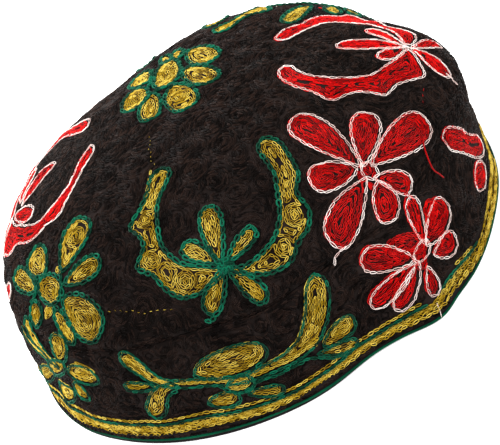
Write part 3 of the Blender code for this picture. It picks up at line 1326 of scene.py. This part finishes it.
@dataclass
class Chains:
    """Rows laid as chains of links in one stitch and one thread."""

    stitch: Stitch
    draws: np.random.Generator
    starts: list[np.ndarray] = field(default_factory=list)
    ends: list[np.ndarray] = field(default_factory=list)
    normals: list[np.ndarray] = field(default_factory=list)
    slants: list[np.ndarray] = field(default_factory=list)

    def lay(self, rows: list[Row]) -> None:
        """Places links along the rows."""
        for chart in Chart:
            mine = [row for row in rows if row.chart is chart and len(row.line) > 1]
            if not mine:
                continue
            places, normals = chart.surface(np.concatenate([row.line for row in mine]))
            cuts = np.cumsum([len(row.line) for row in mine])[:-1]
            for place, normal in zip(np.split(places, cuts), np.split(normals, cuts)):
                self.along(place + normal * self.stitch.stand, normal)

    def along(self, places: np.ndarray, normals: np.ndarray, slant: float = 0.0) -> None:
        """Places links along one line of the surface.

        Args:
            places: the line's points, in millimetres.
            normals: the surface's normals there.
            slant: how far every other link is turned either way, in degrees.
        """
        steps = np.linalg.norm(np.diff(places, axis=0), axis=1)
        reach = np.concatenate([[0], np.cumsum(steps)])
        if reach[-1] < self.stitch.pitch * HAND.shortest:
            return
        count = max(1, round(reach[-1] / self.stitch.pitch))
        at = np.linspace(0, reach[-1], count + 1)
        if count > 3:
            nudge = self.draws.uniform(-HAND.nudge, HAND.nudge, count + 1) * self.stitch.pitch
            nudge[[0, -1]] = 0
            at = at + nudge
        spots = between(at, reach, places)
        self.starts.append(spots[:-1])
        self.ends.append(spots[1:])
        self.normals.append(between((at[1:] + at[:-1]) / 2, reach, normals))
        self.slants.append(np.where(np.arange(count) % 2, slant, -slant))

    def build(self, name: str, thread: Thread, slot: str) -> None:
        """Makes the meshes, each under the limit of triangles."""
        link, stitch = Link.of(self.stitch), self.stitch
        starts, ends = np.concatenate(self.starts), np.concatenate(self.ends)
        up, slants = unit(np.concatenate(self.normals)), np.radians(np.concatenate(self.slants))
        total = len(starts)
        turn = slants + self.draws.normal(0, HAND.turn, total)
        length = np.linalg.norm(ends - starts, axis=1)
        along = unit(ends - starts)
        aside = unit(np.cross(up, along))
        c, s = np.cos(turn)[:, None], np.sin(turn)[:, None]
        along, aside = along * c + aside * s, aside * c - along * s
        length = length + stitch.overlap + self.draws.normal(0, HAND.length, total)
        breadth = stitch.breadth * (1 + self.draws.normal(0, HAND.breadth, total)) - stitch.thread
        breadth = np.maximum(breadth, 0.0)
        middle = (starts + ends) / 2 + aside * self.draws.normal(0, stitch.jitter, total)[:, None]
        middle = middle + up * self.draws.normal(0, HAND.height, total)[:, None]
        axes = np.stack([along, aside, up], axis=1)
        tones = self.draws.random(total)
        parts = math.ceil(total / (HAND.most_triangles // (2 * len(link.faces))))
        for part in range(parts):
            chosen = slice(part * total // parts, (part + 1) * total // parts)
            label = name if parts == 1 else f"{name}_{part + 1}"
            places = self.placed(link, middle[chosen], axes[chosen], length[chosen], breadth[chosen])
            piece(link_mesh(label, link, places, tones[chosen]), THREADS.of(thread))
        LOG.info("%s: %d links in %d meshes", name, total, parts)

    def placed(
        self, link: Link, middle: np.ndarray, axes: np.ndarray, length: np.ndarray, breadth: np.ndarray
    ) -> np.ndarray:
        """The vertices of links, in millimetres.

        Args:
            link: the ring that is laid.
            middle: the middle of each link.
            axes: the unit axes of each link: along, aside and up.
            length: the length of each link.
            breadth: the breadth of each link, without its thread.

        Returns:
            The vertices, links by vertices by three.
        """
        x, y, z = axes[:, :1], axes[:, 1:2], axes[:, 2:]
        reach = (length - self.stitch.thread)[:, None, None]
        centre, offset = link.centres[None], link.offsets[None] * self.stitch.thread
        result = middle[:, None] + x * (centre[..., :1] * reach + offset[..., :1])
        result = result + y * (centre[..., 1:2] * breadth[:, None, None] + offset[..., 1:2])
        tilt = centre[..., 2:] * self.stitch.thread * HAND.tilt
        return result + z * (tilt + offset[..., 2:])


def link_mesh(name: str, link: Link, places: np.ndarray, tones: np.ndarray) -> bpy.types.Mesh:
    """One mesh of many links, with a tone for each link and the thread's own lengthwise map.

    Args:
        name: the mesh's name.
        link: the ring that is laid.
        places: the vertices in millimetres, links by vertices by three.
        tones: a shade from 0 to 1 for each link.

    Returns:
        The mesh, without a material.
    """
    count, size = places.shape[:2]
    corners = (link.faces[None] + np.arange(count)[:, None, None] * size).reshape(-1)
    mesh = bpy.data.meshes.new(name)
    mesh.vertices.add(count * size)
    mesh.vertices.foreach_set("co", (places * MM).astype(np.float32).reshape(-1))
    mesh.loops.add(len(corners))
    mesh.loops.foreach_set("vertex_index", corners.astype(np.int32))
    faces = len(corners) // 4
    mesh.polygons.add(faces)
    mesh.polygons.foreach_set("loop_start", np.arange(faces, dtype=np.int32) * 4)
    mesh.polygons.foreach_set("use_smooth", np.ones(faces, bool))
    mesh.update(calc_edges=True)
    tone = mesh.attributes.new("tone", "FLOAT", "POINT")
    tone.data.foreach_set("value", np.repeat(tones, size).astype(np.float32))
    wraps = link.wraps[link.faces].copy()
    far = np.ptp(wraps[..., 0], axis=1) > 0.5
    wraps[far, :, 0] = np.where(wraps[far, :, 0] < 0, wraps[far, :, 0] + 1, wraps[far, :, 0])
    uv = mesh.uv_layers.new(name="thread")
    flat = np.broadcast_to(wraps.reshape(1, -1), (count, wraps.size)).reshape(-1)
    uv.data.foreach_set("uv", np.ascontiguousarray(flat, dtype=np.float32))
    return mesh


# Materials


def linear(colour: Colour) -> tuple[float, float, float, float]:
    """An sRGB colour of 0 to 255 as a linear one."""
    shares = [channel / 255 for channel in colour]
    values = [s / 12.92 if s <= 0.04045 else ((s + 0.055) / 1.055) ** 2.4 for s in shares]
    return (*values, 1.0)


class Nodes:
    """A thin helper for one node tree."""

    def __init__(self, tree: bpy.types.NodeTree) -> None:
        """Keeps the tree."""
        self.tree = tree

    def add(self, kind: str, **values: object) -> bpy.types.Node:
        """Adds a node; values are its properties."""
        node = self.tree.nodes.new(kind)
        for key, value in values.items():
            setattr(node, key, value)
        return node

    def join(self, source: Socket, target: Socket) -> None:
        """Links two sockets."""
        self.tree.links.new(source, target)

    def math(self, operation: str, first: object, second: object = 0.0) -> Socket:
        """A math node on sockets or plain numbers."""
        node = self.add("ShaderNodeMath", operation=operation)
        for socket, value in zip(node.inputs, (first, second)):
            if isinstance(value, Socket):
                self.join(value, socket)
            else:
                socket.default_value = value
        return node.outputs[0]

    def axes(self, uv_map: str) -> tuple[Socket, Socket]:
        """The two coordinates of a UV map."""
        uv = self.add("ShaderNodeUVMap", uv_map=uv_map)
        split = self.add("ShaderNodeSeparateXYZ")
        self.join(uv.outputs["UV"], split.inputs[0])
        return split.outputs["X"], split.outputs["Y"]

    def noise(self, scale: float, detail: float) -> Socket:
        """Noise over the piece's own coordinates."""
        where = self.add("ShaderNodeTexCoord")
        noise = self.add("ShaderNodeTexNoise")
        noise.inputs["Scale"].default_value = scale
        noise.inputs["Detail"].default_value = detail
        self.join(where.outputs["Object"], noise.inputs["Vector"])
        return noise.outputs["Fac"]

    def colour(self, source: Socket, stops: list[tuple[float, Colour]], shader: bpy.types.Node) -> None:
        """Colours a shader by a ramp of stops: positions and sRGB colours."""
        ramp = self.add("ShaderNodeValToRGB")
        elements = ramp.color_ramp.elements
        elements[0].position, elements[1].position = stops[0][0], stops[-1][0]
        for position, _ in stops[1:-1]:
            elements.new(position)
        for element, (_, colour) in zip(elements, stops):
            element.color = linear(colour)
        self.join(source, ramp.inputs["Fac"])
        self.join(ramp.outputs["Color"], shader.inputs["Base Color"])

    def bump(self, height: Socket, strength: float, depth: float, shader: bpy.types.Node) -> None:
        """Bends a shader's normals by a height; depth is in metres."""
        bump = self.add("ShaderNodeBump")
        bump.inputs["Strength"].default_value = strength
        bump.inputs["Distance"].default_value = depth
        self.join(height, bump.inputs["Height"])
        self.join(bump.outputs["Normal"], shader.inputs["Normal"])


def cloth_shader(
    name: str, roughness: float, specular: float, sheen: float
) -> tuple[bpy.types.Material, Nodes, bpy.types.Node]:
    """A new material for cloth or thread, with its nodes and its shader."""
    material = bpy.data.materials.new(name)
    material.use_nodes = True
    shader = material.node_tree.nodes["Principled BSDF"]
    shader.inputs["Roughness"].default_value = roughness
    shader.inputs["Metallic"].default_value = 0.0
    shader.inputs["Specular IOR Level"].default_value = specular
    shader.inputs["Sheen Weight"].default_value = sheen
    return material, Nodes(material.node_tree), shader


def group_tree(name: str, outputs: tuple[str, ...]) -> tuple[Nodes, bpy.types.Node]:
    """An empty shader group with float outputs, and its output node."""
    tree = bpy.data.node_groups.new(name, "ShaderNodeTree")
    for output in outputs:
        tree.interface.new_socket(name=output, in_out="OUTPUT", socket_type="NodeSocketFloat")
    nodes = Nodes(tree)
    return nodes, nodes.add("NodeGroupOutput")


class ThreadMaterials:
    """Dyed threads that share one group for the twist, the fibres and the unevenness of the dye."""

    twists: float = 7.0
    dye_scale: float = 55.0
    dye_detail: float = 3.0
    dye_share: float = 0.7
    link_share: float = 0.9
    tone_drop: float = 0.15
    bump_strength: float = 0.35
    bump_depth: float = 0.00008

    def __init__(self) -> None:
        """Starts without any."""
        self.made: dict[str, bpy.types.Material] = {}
        self.group: bpy.types.NodeTree | None = None

    def twist_group(self) -> bpy.types.NodeTree:
        """The shared group: Tone chooses the colour, Height is the twist of the thread."""
        if self.group is not None:
            return self.group
        nodes, out = group_tree("twisted_thread", ("Tone", "Height"))
        along, around = nodes.axes("thread")
        phase = nodes.math("ADD", nodes.math("MULTIPLY", along, self.twists * 2 * math.pi), around)
        nodes.join(nodes.math("SINE", phase), out.inputs["Height"])
        own = nodes.add("ShaderNodeAttribute", attribute_name="tone")
        broad = nodes.math("MULTIPLY", nodes.noise(self.dye_scale, self.dye_detail), self.dye_share)
        single = nodes.math("MULTIPLY", own.outputs["Fac"], self.link_share)
        tone = nodes.math("SUBTRACT", nodes.math("ADD", broad, single), self.tone_drop)
        nodes.join(tone, out.inputs["Tone"])
        self.group = nodes.tree
        return self.group

    def of(self, thread: Thread) -> bpy.types.Material:
        """The material of a thread."""
        if thread.name not in self.made:
            material, nodes, shader = cloth_shader(
                thread.name, thread.roughness, thread.specular, thread.sheen
            )
            group = nodes.add("ShaderNodeGroup")
            group.node_tree = self.twist_group()
            stops = [(0.0, thread.dark), (0.5, thread.middle), (1.0, thread.light)]
            nodes.colour(group.outputs["Tone"], stops, shader)
            nodes.bump(group.outputs["Height"], self.bump_strength, self.bump_depth, shader)
            self.made[thread.name] = material
        return self.made[thread.name]


THREADS = ThreadMaterials()


@dataclass(frozen=True)
class ClothFinish:
    """A plain woven cloth: two sRGB colours, the threads' spacing in metres and the roughness."""

    name: str
    low: Colour
    high: Colour
    weave: float
    roughness: float
    specular: float = 0.03
    sheen: float = 0.01
    patch_scale: float = 90.0
    patch_detail: float = 4.0
    patch_range: Pair = (0.3, 0.75)
    bump_strength: float = 0.4
    bump_depth: float = 0.0001

    def material(self) -> bpy.types.Material:
        """The material, with a plain weave and soft worn patches."""
        material, nodes, shader = cloth_shader(self.name, self.roughness, self.specular, self.sheen)
        turns = math.pi / self.weave
        across, along = nodes.axes("chart")
        warp = nodes.math("SINE", nodes.math("MULTIPLY", across, turns))
        weft = nodes.math("SINE", nodes.math("MULTIPLY", along, turns))
        stops = list(zip(self.patch_range, (self.low, self.high)))
        nodes.colour(nodes.noise(self.patch_scale, self.patch_detail), stops, shader)
        nodes.bump(nodes.math("MULTIPLY", warp, weft), self.bump_strength, self.bump_depth, shader)
        return material


CLOTH_FINISHES = (
    ClothFinish("base_cloth", low=(6, 4, 3), high=(38, 30, 28), weave=0.0006, roughness=0.85),
    ClothFinish("binding_cloth", low=(16, 13, 14), high=(30, 26, 26), weave=0.0008, roughness=0.75),
    ClothFinish("cord_cloth", low=(0, 46, 30), high=(4, 78, 52), weave=0.0011, roughness=0.7),
)


# Cloth and binding


@dataclass(frozen=True)
class Ring:
    """One ring of a cloth piece: its level, millimetres up from there, and how far it stands out."""

    level: float
    lift: float
    out: float


@dataclass(frozen=True)
class Shell:
    """A piece of cloth that follows the cap all round; it may sink by a dip (mm) at one side."""

    name: str
    rings: tuple[Ring, ...]
    segments: int = 192
    dip: float = 0.0
    dip_azimuth: float = 66.0
    dip_width: float = 60.0

    def build(self, material: bpy.types.Material, slot: str, node: str = "") -> None:
        """Makes the piece from a grid bent onto the cap.

        Args:
            material: its finish.
            slot: a material slot; not used.
            node: the CAD node that it stands for, if any.
        """
        azimuths = np.linspace(0, 2 * math.pi, self.segments, endpoint=False)[None, :]
        levels, lifts, out = np.array([(row.level, row.lift, row.out) for row in self.rings], float).T
        aside = degrees_from(self.dip_azimuth, azimuths)
        dip = self.dip * np.exp(-((aside / self.dip_width) ** 4))
        levels = levels[:, None] - (lifts[:, None] - dip) / FORM.seam(azimuths)
        places, normals = FORM.surface(levels, azimuths)
        places = places + normals * out[:, None, None]
        strips = len(self.rings) - 1
        body = bmesh.new()
        bmesh.ops.create_grid(
            body, x_segments=self.segments, y_segments=strips, size=1.0, calc_uvs=True
        )
        chart = body.loops.layers.uv.new("chart")
        for vert in body.verts:
            column = round((vert.co.x + 1) / 2 * self.segments)
            row = round((vert.co.y + 1) / 2 * strips)
            for loop in vert.link_loops:
                u = column / self.segments * 2 * math.pi * FORM.rim_radius * MM
                loop[chart].uv = (u, levels[row, 0] * FORM.crown_length * MM)
            vert.co = places[row, column % self.segments] * MM
        mesh = smooth_mesh(self.name, body, merge=0.00005)
        obj = piece(mesh, material)
        if node:
            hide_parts(node)
        LOG.info("%s: %d faces", self.name, len(mesh.polygons))


@dataclass(frozen=True)
class Cloth:
    """Thicknesses and gaps of the cloth pieces, in millimetres."""

    wall: float = 2.2
    gap: float = 0.3
    tape: float = 0.8
    tape_height: float = 5.0
    tape_round: float = 0.9
    chamfer: float = 0.3
    crown_rows: int = 46
    band_rows: int = 18
    cord_height: float = 2.5
    cord_radius: float = 0.52
    cord_sunk: float = 0.35
    cord_flat: float = 0.8
    cord_sides: int = 10

    def crown(self) -> Shell:
        """The crown, outer face then inner face."""
        edge = 1 - self.gap / 2 / FORM.crown_length
        levels = [edge * row / self.crown_rows for row in range(self.crown_rows + 1)]
        outer = [Ring(level, 0, 0) for level in levels]
        inner = [Ring(level, 0, -self.wall) for level in reversed(levels)]
        return Shell("crown_cloth", tuple(outer + inner))

    def band(self) -> Shell:
        """The band: down its outer face and up its inner face."""
        top, bottom = -self.gap / 2, self.tape + self.gap
        shares = [row / self.band_rows for row in range(self.band_rows + 1)]
        outer = [Ring(1 + share, top + (bottom - top) * share, 0) for share in shares]
        inner = [Ring(row.level, row.lift, -self.wall) for row in reversed(outer)]
        return Shell("band_cloth", tuple(outer + inner + outer[:1]))

    def binding(self) -> Shell:
        """The binding: a U of tape round the band's lower edge, rounded at its corners."""

        def half(face: float, side: int) -> list[Ring]:
            """One half of the U, from under its face (side 1 outside, -1 inside) to its inner corner."""
            bend, top = self.tape_round, self.tape_height
            turns = [math.radians(angle) for angle in (90, 60, 30, 0)]
            rounded = [
                Ring(2, bend - bend * math.sin(turn), face - side * bend + side * bend * math.cos(turn))
                for turn in turns
            ]
            return rounded + [
                Ring(2, top - self.chamfer, face),
                Ring(2, top, face - side * self.chamfer),
                Ring(2, top, face - side * self.tape),
                Ring(2, self.tape, face - side * self.tape),
            ]

        outer = half(self.gap + self.tape, 1)
        inner = half(-self.wall - self.gap - self.tape, -1)
        return Shell("binding_tape", (*outer, *reversed(inner), outer[0]))

    def cord(self) -> Shell:
        """A smooth cord sewn along the outside of the binding."""
        radius = self.cord_radius
        middle = self.gap + self.tape + radius * self.cord_sunk
        turns = [2 * math.pi * side / self.cord_sides for side in range(self.cord_sides + 1)]
        depth = radius * self.cord_flat
        rings = tuple(
            Ring(2, self.cord_height + radius * math.sin(turn), middle + depth * math.cos(turn))
            for turn in turns
        )
        return Shell("edge_cord", rings, segments=288, dip=1.6)


@dataclass(frozen=True)
class LooseThread:
    """A loose end of thread: spots (chart, x, y, height over the cloth) and its thickness.

    Its ends narrow to a share of the radius, which grows back step by step.
    """

    name: str
    thread: Thread
    spots: tuple[tuple[Chart, float, float, float], ...]
    thickness: float = 0.45
    tone: float = 0.3
    sides: int = 6
    step: float = 0.4
    end_share: float = 0.35
    growth: float = 0.3
    wrap_step: float = 0.06

    def build(self) -> None:
        """Bends a grid round the thread's path."""
        corners, facing = [], []
        for chart, x, y, height in self.spots:
            place, normal = chart.surface(np.array([x, y], float))
            corners.append(place + normal * height)
            facing.append(normal)
        path = smooth(np.array(corners), closed=False, step=self.step)
        share = np.linspace(0, len(corners) - 1, len(path))
        normals = between(share, np.arange(len(corners)), np.array(facing))
        along = unit(np.gradient(path, axis=0))
        aside = unit(np.cross(normals, along))
        up = np.cross(along, aside)
        last = len(path) - 1
        from_end = np.minimum(np.arange(last + 1), last - np.arange(last + 1))
        radius = self.thickness / 2 * np.minimum(1, self.end_share + from_end * self.growth)
        body = bmesh.new()
        bmesh.ops.create_grid(body, x_segments=last, y_segments=self.sides, size=1.0)
        wrap = body.loops.layers.uv.new("thread")
        for vert in body.verts:
            step = round((vert.co.x + 1) / 2 * last)
            turn = round((vert.co.y + 1) / 2 * self.sides) / self.sides * 2 * math.pi
            for loop in vert.link_loops:
                loop[wrap].uv = (step * self.wrap_step, turn)
            out = aside[step] * math.cos(turn) + up[step] * math.sin(turn)
            vert.co = (path[step] + out * radius[step]) * MM
        mesh = smooth_mesh(self.name, body, merge=0.00001)
        tone = mesh.attributes.new("tone", "FLOAT", "POINT")
        tone.data.foreach_set("value", np.full(len(mesh.vertices), self.tone, np.float32))
        piece(mesh, THREADS.of(self.thread))


LOOSE_THREADS = (
    LooseThread(
        "loose_red_thread",
        RED,
        (
            (Chart.CROWN, 93, -50, 0.5),
            (Chart.CROWN, 94.5, -55.5, 0.9),
            (Chart.BAND, 94, 43, 1.0),
            (Chart.BAND, 96, 39, 0.9),
            (Chart.BAND, 97.5, 36, 0.6),
        ),
        thickness=0.6,
        # A low tone paints the loose red thread darker: painted shade, to match the self-shadowed fill
        # round it.
        tone=0.05,
    ),
    LooseThread(
        "loose_white_thread",
        WHITE,
        ((Chart.BAND, 66, 7, 0.6), (Chart.BAND, 65.7, 3.8, 1.4), (Chart.BAND, 65.2, 1, 1.9)),
        thickness=0.25,
        tone=0.5,
    ),
)

# Embroidery


@dataclass(frozen=True)
class RimRow:
    """A row of stitches round the rim: its share of the stripe's height and millimetres above that.

    Share 0 is the stripe's lower edge and 1 its upper edge. The row runs from start to end, in
    degrees; where the belly of the band covers it, it stops.
    """

    share: float
    above: float
    thread: Thread
    stitch: Stitch
    slant: float = 0.0
    start: float = -180.0
    end: float = 180.0


RIM_ROWS = (
    RimRow(0.0, -1.1, BLACK, BRAID_STITCH, start=-210, end=46),
    RimRow(0.0, 0.6, GOLD, RIM_STITCH, slant=18),
    RimRow(0.27, 0.3, GOLD, RIM_STITCH, slant=-18),
    RimRow(0.5, 0.0, GOLD, RIM_STITCH, slant=18),
    RimRow(0.73, -0.3, GOLD, RIM_STITCH, slant=-18),
    RimRow(1.0, -0.6, GOLD, RIM_STITCH, slant=10),
    RimRow(0.13, 0.4, GOLD, RIM_STITCH, slant=10, start=77, end=132),
    RimRow(0.38, 0.1, GOLD, RIM_STITCH, slant=-10, start=77, end=132),
    RimRow(0.62, -0.1, GOLD, RIM_STITCH, slant=10, start=77, end=132),
    RimRow(0.87, -0.4, GOLD, RIM_STITCH, slant=-10, start=77, end=132),
    RimRow(1.0, 0.9, GREEN, BAND_EDGE_STITCH, start=-210, end=39.5),
    RimRow(1.0, 0.9, GREEN, BAND_EDGE_STITCH, start=44.5, end=63),
    RimRow(1.0, 2.5, GOLD, RIM_STITCH, start=-210, end=38.5),
    RimRow(1.0, 2.2, GOLD, RIM_STITCH, start=52, end=60),
)


@dataclass(frozen=True)
class Rim:
    """How the rows round the rim climb over the binding, in millimetres."""

    tape_height: float = 5.2
    tape_out: float = 1.1
    half_climb: float = 0.5
    points: int = 1400

    def line(self, row: RimRow, azimuths: np.ndarray) -> tuple[np.ndarray, np.ndarray]:
        """Points and normals of a row, in millimetres."""
        lower, upper, _ = stripe_edges(azimuths)
        height = lower + (upper - lower) * row.share + row.above
        places, normals = FORM.surface(2 - height / FORM.seam(azimuths), azimuths)
        climb = self.tape_out * ease(self.tape_height + self.half_climb - height)
        return places + normals * (climb + row.stitch.stand)[:, None], normals


class Embroidery:
    """All the stitches of the cap, gathered by place and thread before they are built."""

    first_seed: int = 11

    def __init__(self) -> None:
        """Starts with no rows."""
        self.chains: dict[tuple[str, str], tuple[Chains, Thread]] = {}

    def chain(self, place: str, thread: Thread, stitch: Stitch) -> Chains:
        """The gathered chains of one thread at one place."""
        key = (place, thread.name)
        if key not in self.chains:
            draws = np.random.default_rng(len(self.chains) + self.first_seed)
            self.chains[key] = (Chains(stitch, draws), thread)
        return self.chains[key][0]

    def motifs(self) -> None:
        """Fills and outlines every motif."""
        for motif in MOTIFS:
            stitch, edge_stitch = motif.stitches
            place = f"{motif.chart.value}_outline"
            for shape in motif.shapes:
                rows = Filling(motif.chart, shape, stitch, motif.slip).rows()
                self.chain("fill", motif.fill, stitch).lay(rows)
                loop = shape.outline()
                closed = Row(motif.chart, np.concatenate([loop, loop[:1]]))
                self.chain(place, motif.edge, edge_stitch).lay([closed])
            for patch in motif.patches:
                self.chain("fill", motif.fill, stitch).lay(Filling(motif.chart, patch, stitch).rows())
            LOG.info("%s laid", motif.name)
        for accent in ACCENTS:
            line = smooth(np.array(accent.spots, float), closed=False)
            place = "tack" if accent.stitch is TACK_STITCH else f"{accent.chart.value}_outline"
            self.chain(place, accent.thread, accent.stitch).lay([Row(accent.chart, line)])

    def ground(self) -> None:
        """Lays the black rows between the motifs of both charts."""
        for chart in Chart:
            loops = [loop for motif in MOTIFS if motif.chart is chart for loop in motif.loops()]
            for motif in MOTIFS:
                if motif.chart is not chart:
                    crossing = [loop for loop in motif.loops() if motif.chart.crosses(loop)]
                    loops += [motif.chart.carried(loop) for loop in crossing]
            ground = Ground(chart, loops, GROUND_STITCH, GROUND_WHORLS[chart], GROUND_SEEDS[chart])
            rows = ground.rows()
            self.chain(f"ground_{chart.value}", BLACK, GROUND_STITCH).lay(rows)
            LOG.info("ground of the %s: %d rows", chart.value, len(rows))

    def rim(self) -> None:
        """Lays the rows round the rim."""
        rim = Rim()
        for row in RIM_ROWS:
            azimuths = np.linspace(row.start, row.end, rim.points)
            places, normals = rim.line(row, np.radians(azimuths))
            self.chain("rim", row.thread, row.stitch).along(places, normals, row.slant)

    def build(self) -> None:
        """Builds every gathered chain."""
        for (place, thread_name), (chains, thread) in self.chains.items():
            slot = EDGE_SLOT if place == "rim" and thread is BLACK else CLOTH_SLOT
            chains.build(f"{place}_{thread_name}", thread, slot)


# Studio


@dataclass(frozen=True)
class AreaLight:
    """A soft square light that faces the cap: place, size and aim in metres, power in watts."""

    name: str
    place: Triple
    size: float
    power: float
    aim: Triple = (0.0, 0.0, 0.04)

    def build(self) -> None:
        """Makes the light."""
        data = bpy.data.lights.new(self.name, "AREA")
        data.shape = "SQUARE"
        data.size = self.size
        data.energy = self.power
        light = bpy.data.objects.new(self.name, data)
        light.location = self.place
        towards = Vector(self.aim) - Vector(self.place)
        light.rotation_euler = towards.to_track_quat("-Z", "Y").to_euler()
        bpy.context.scene.collection.objects.link(light)


LIGHTS = (
    AreaLight("key", place=(-0.5, -0.9, 1.5), size=0.6, power=30.0),
    AreaLight("side", place=(1.3, -0.2, 1.0), size=0.7, power=20.0),
    AreaLight("rim", place=(-0.9, 0.9, 1.1), size=0.8, power=42.0),
)


@dataclass(frozen=True)
class Studio:
    """The camera, floor and surroundings.

    Angles are in degrees, the lens and the sensor in millimetres, other lengths in metres.
    """

    azimuth: float = 10.0
    elevation: float = 32.0
    roll: float = 26.5
    distance: float = 0.85
    lens: float = 158.0
    target: Triple = (0.0002, 0.0, 0.024)
    sensor: float = 36.0
    far: float = 20.0
    floor_half: float = 6.0
    floor_grey: float = 0.9
    floor_glow: float = 0.6
    surroundings: float = 0.28

    def camera(self) -> None:
        """The camera at the photograph's angle."""
        az, el, roll = map(math.radians, (self.azimuth, self.elevation, self.roll))
        back = Vector((math.sin(az) * math.cos(el), -math.cos(az) * math.cos(el), math.sin(el)))
        right = Vector((math.cos(az), math.sin(az), 0))
        up = back.cross(right)
        across = right * math.cos(roll) - up * math.sin(roll)
        upward = right * math.sin(roll) + up * math.cos(roll)
        data = bpy.data.cameras.new("camera")
        data.lens = self.lens
        data.sensor_width = self.sensor
        data.clip_end = self.far
        camera = bpy.data.objects.new("camera", data)
        matrix = Matrix((across, upward, back)).transposed().to_4x4()
        matrix.translation = Vector(self.target) + back * self.distance
        camera.matrix_world = matrix
        bpy.context.scene.collection.objects.link(camera)
        bpy.context.scene.camera = camera

    def floor(self) -> None:
        """A plain pale floor."""
        body = bmesh.new()
        bmesh.ops.create_grid(body, x_segments=1, y_segments=1, size=self.floor_half)
        mesh = bpy.data.meshes.new("floor")
        body.to_mesh(mesh)
        body.free()
        material = bpy.data.materials.new("pale_floor")
        material.use_nodes = True
        shader = material.node_tree.nodes["Principled BSDF"]
        shader.inputs["Base Color"].default_value = (*[self.floor_grey] * 3, 1.0)
        shader.inputs["Emission Color"].default_value = (1.0, 1.0, 1.0, 1.0)
        shader.inputs["Emission Strength"].default_value = self.floor_glow
        shader.inputs["Roughness"].default_value = 0.9
        mesh.materials.append(material)
        floor = bpy.data.objects.new("floor", mesh)
        bpy.context.scene.collection.objects.link(floor)

    def build(self) -> None:
        """Everything round the cap."""
        scene = bpy.context.scene
        scene.view_settings.view_transform = "Standard"
        world = bpy.data.worlds.new("studio")
        world.use_nodes = True
        background = world.node_tree.nodes["Background"]
        background.inputs["Color"].default_value = (1.0, 1.0, 1.0, 1.0)
        background.inputs["Strength"].default_value = self.surroundings
        scene.world = world
        for light in LIGHTS:
            light.build()
        self.camera()
        self.floor()


def main() -> None:
    """Builds the cloth, the embroidery and the studio."""
    logging.basicConfig(level=logging.INFO, format="%(message)s")
    ground, tape, cord = (finish.material() for finish in CLOTH_FINISHES)
    cloth = Cloth()
    cloth.crown().build(ground, CLOTH_SLOT, "crown")
    cloth.band().build(ground, CLOTH_SLOT, "band")
    cloth.binding().build(tape, EDGE_SLOT, "rim_binding")
    cloth.cord().build(cord, EDGE_SLOT)
    work = Embroidery()
    work.motifs()
    work.ground()
    work.rim()
    work.build()
    for loose in LOOSE_THREADS:
        loose.build()
    Studio().build()


if __name__ == "__main__":
    main()
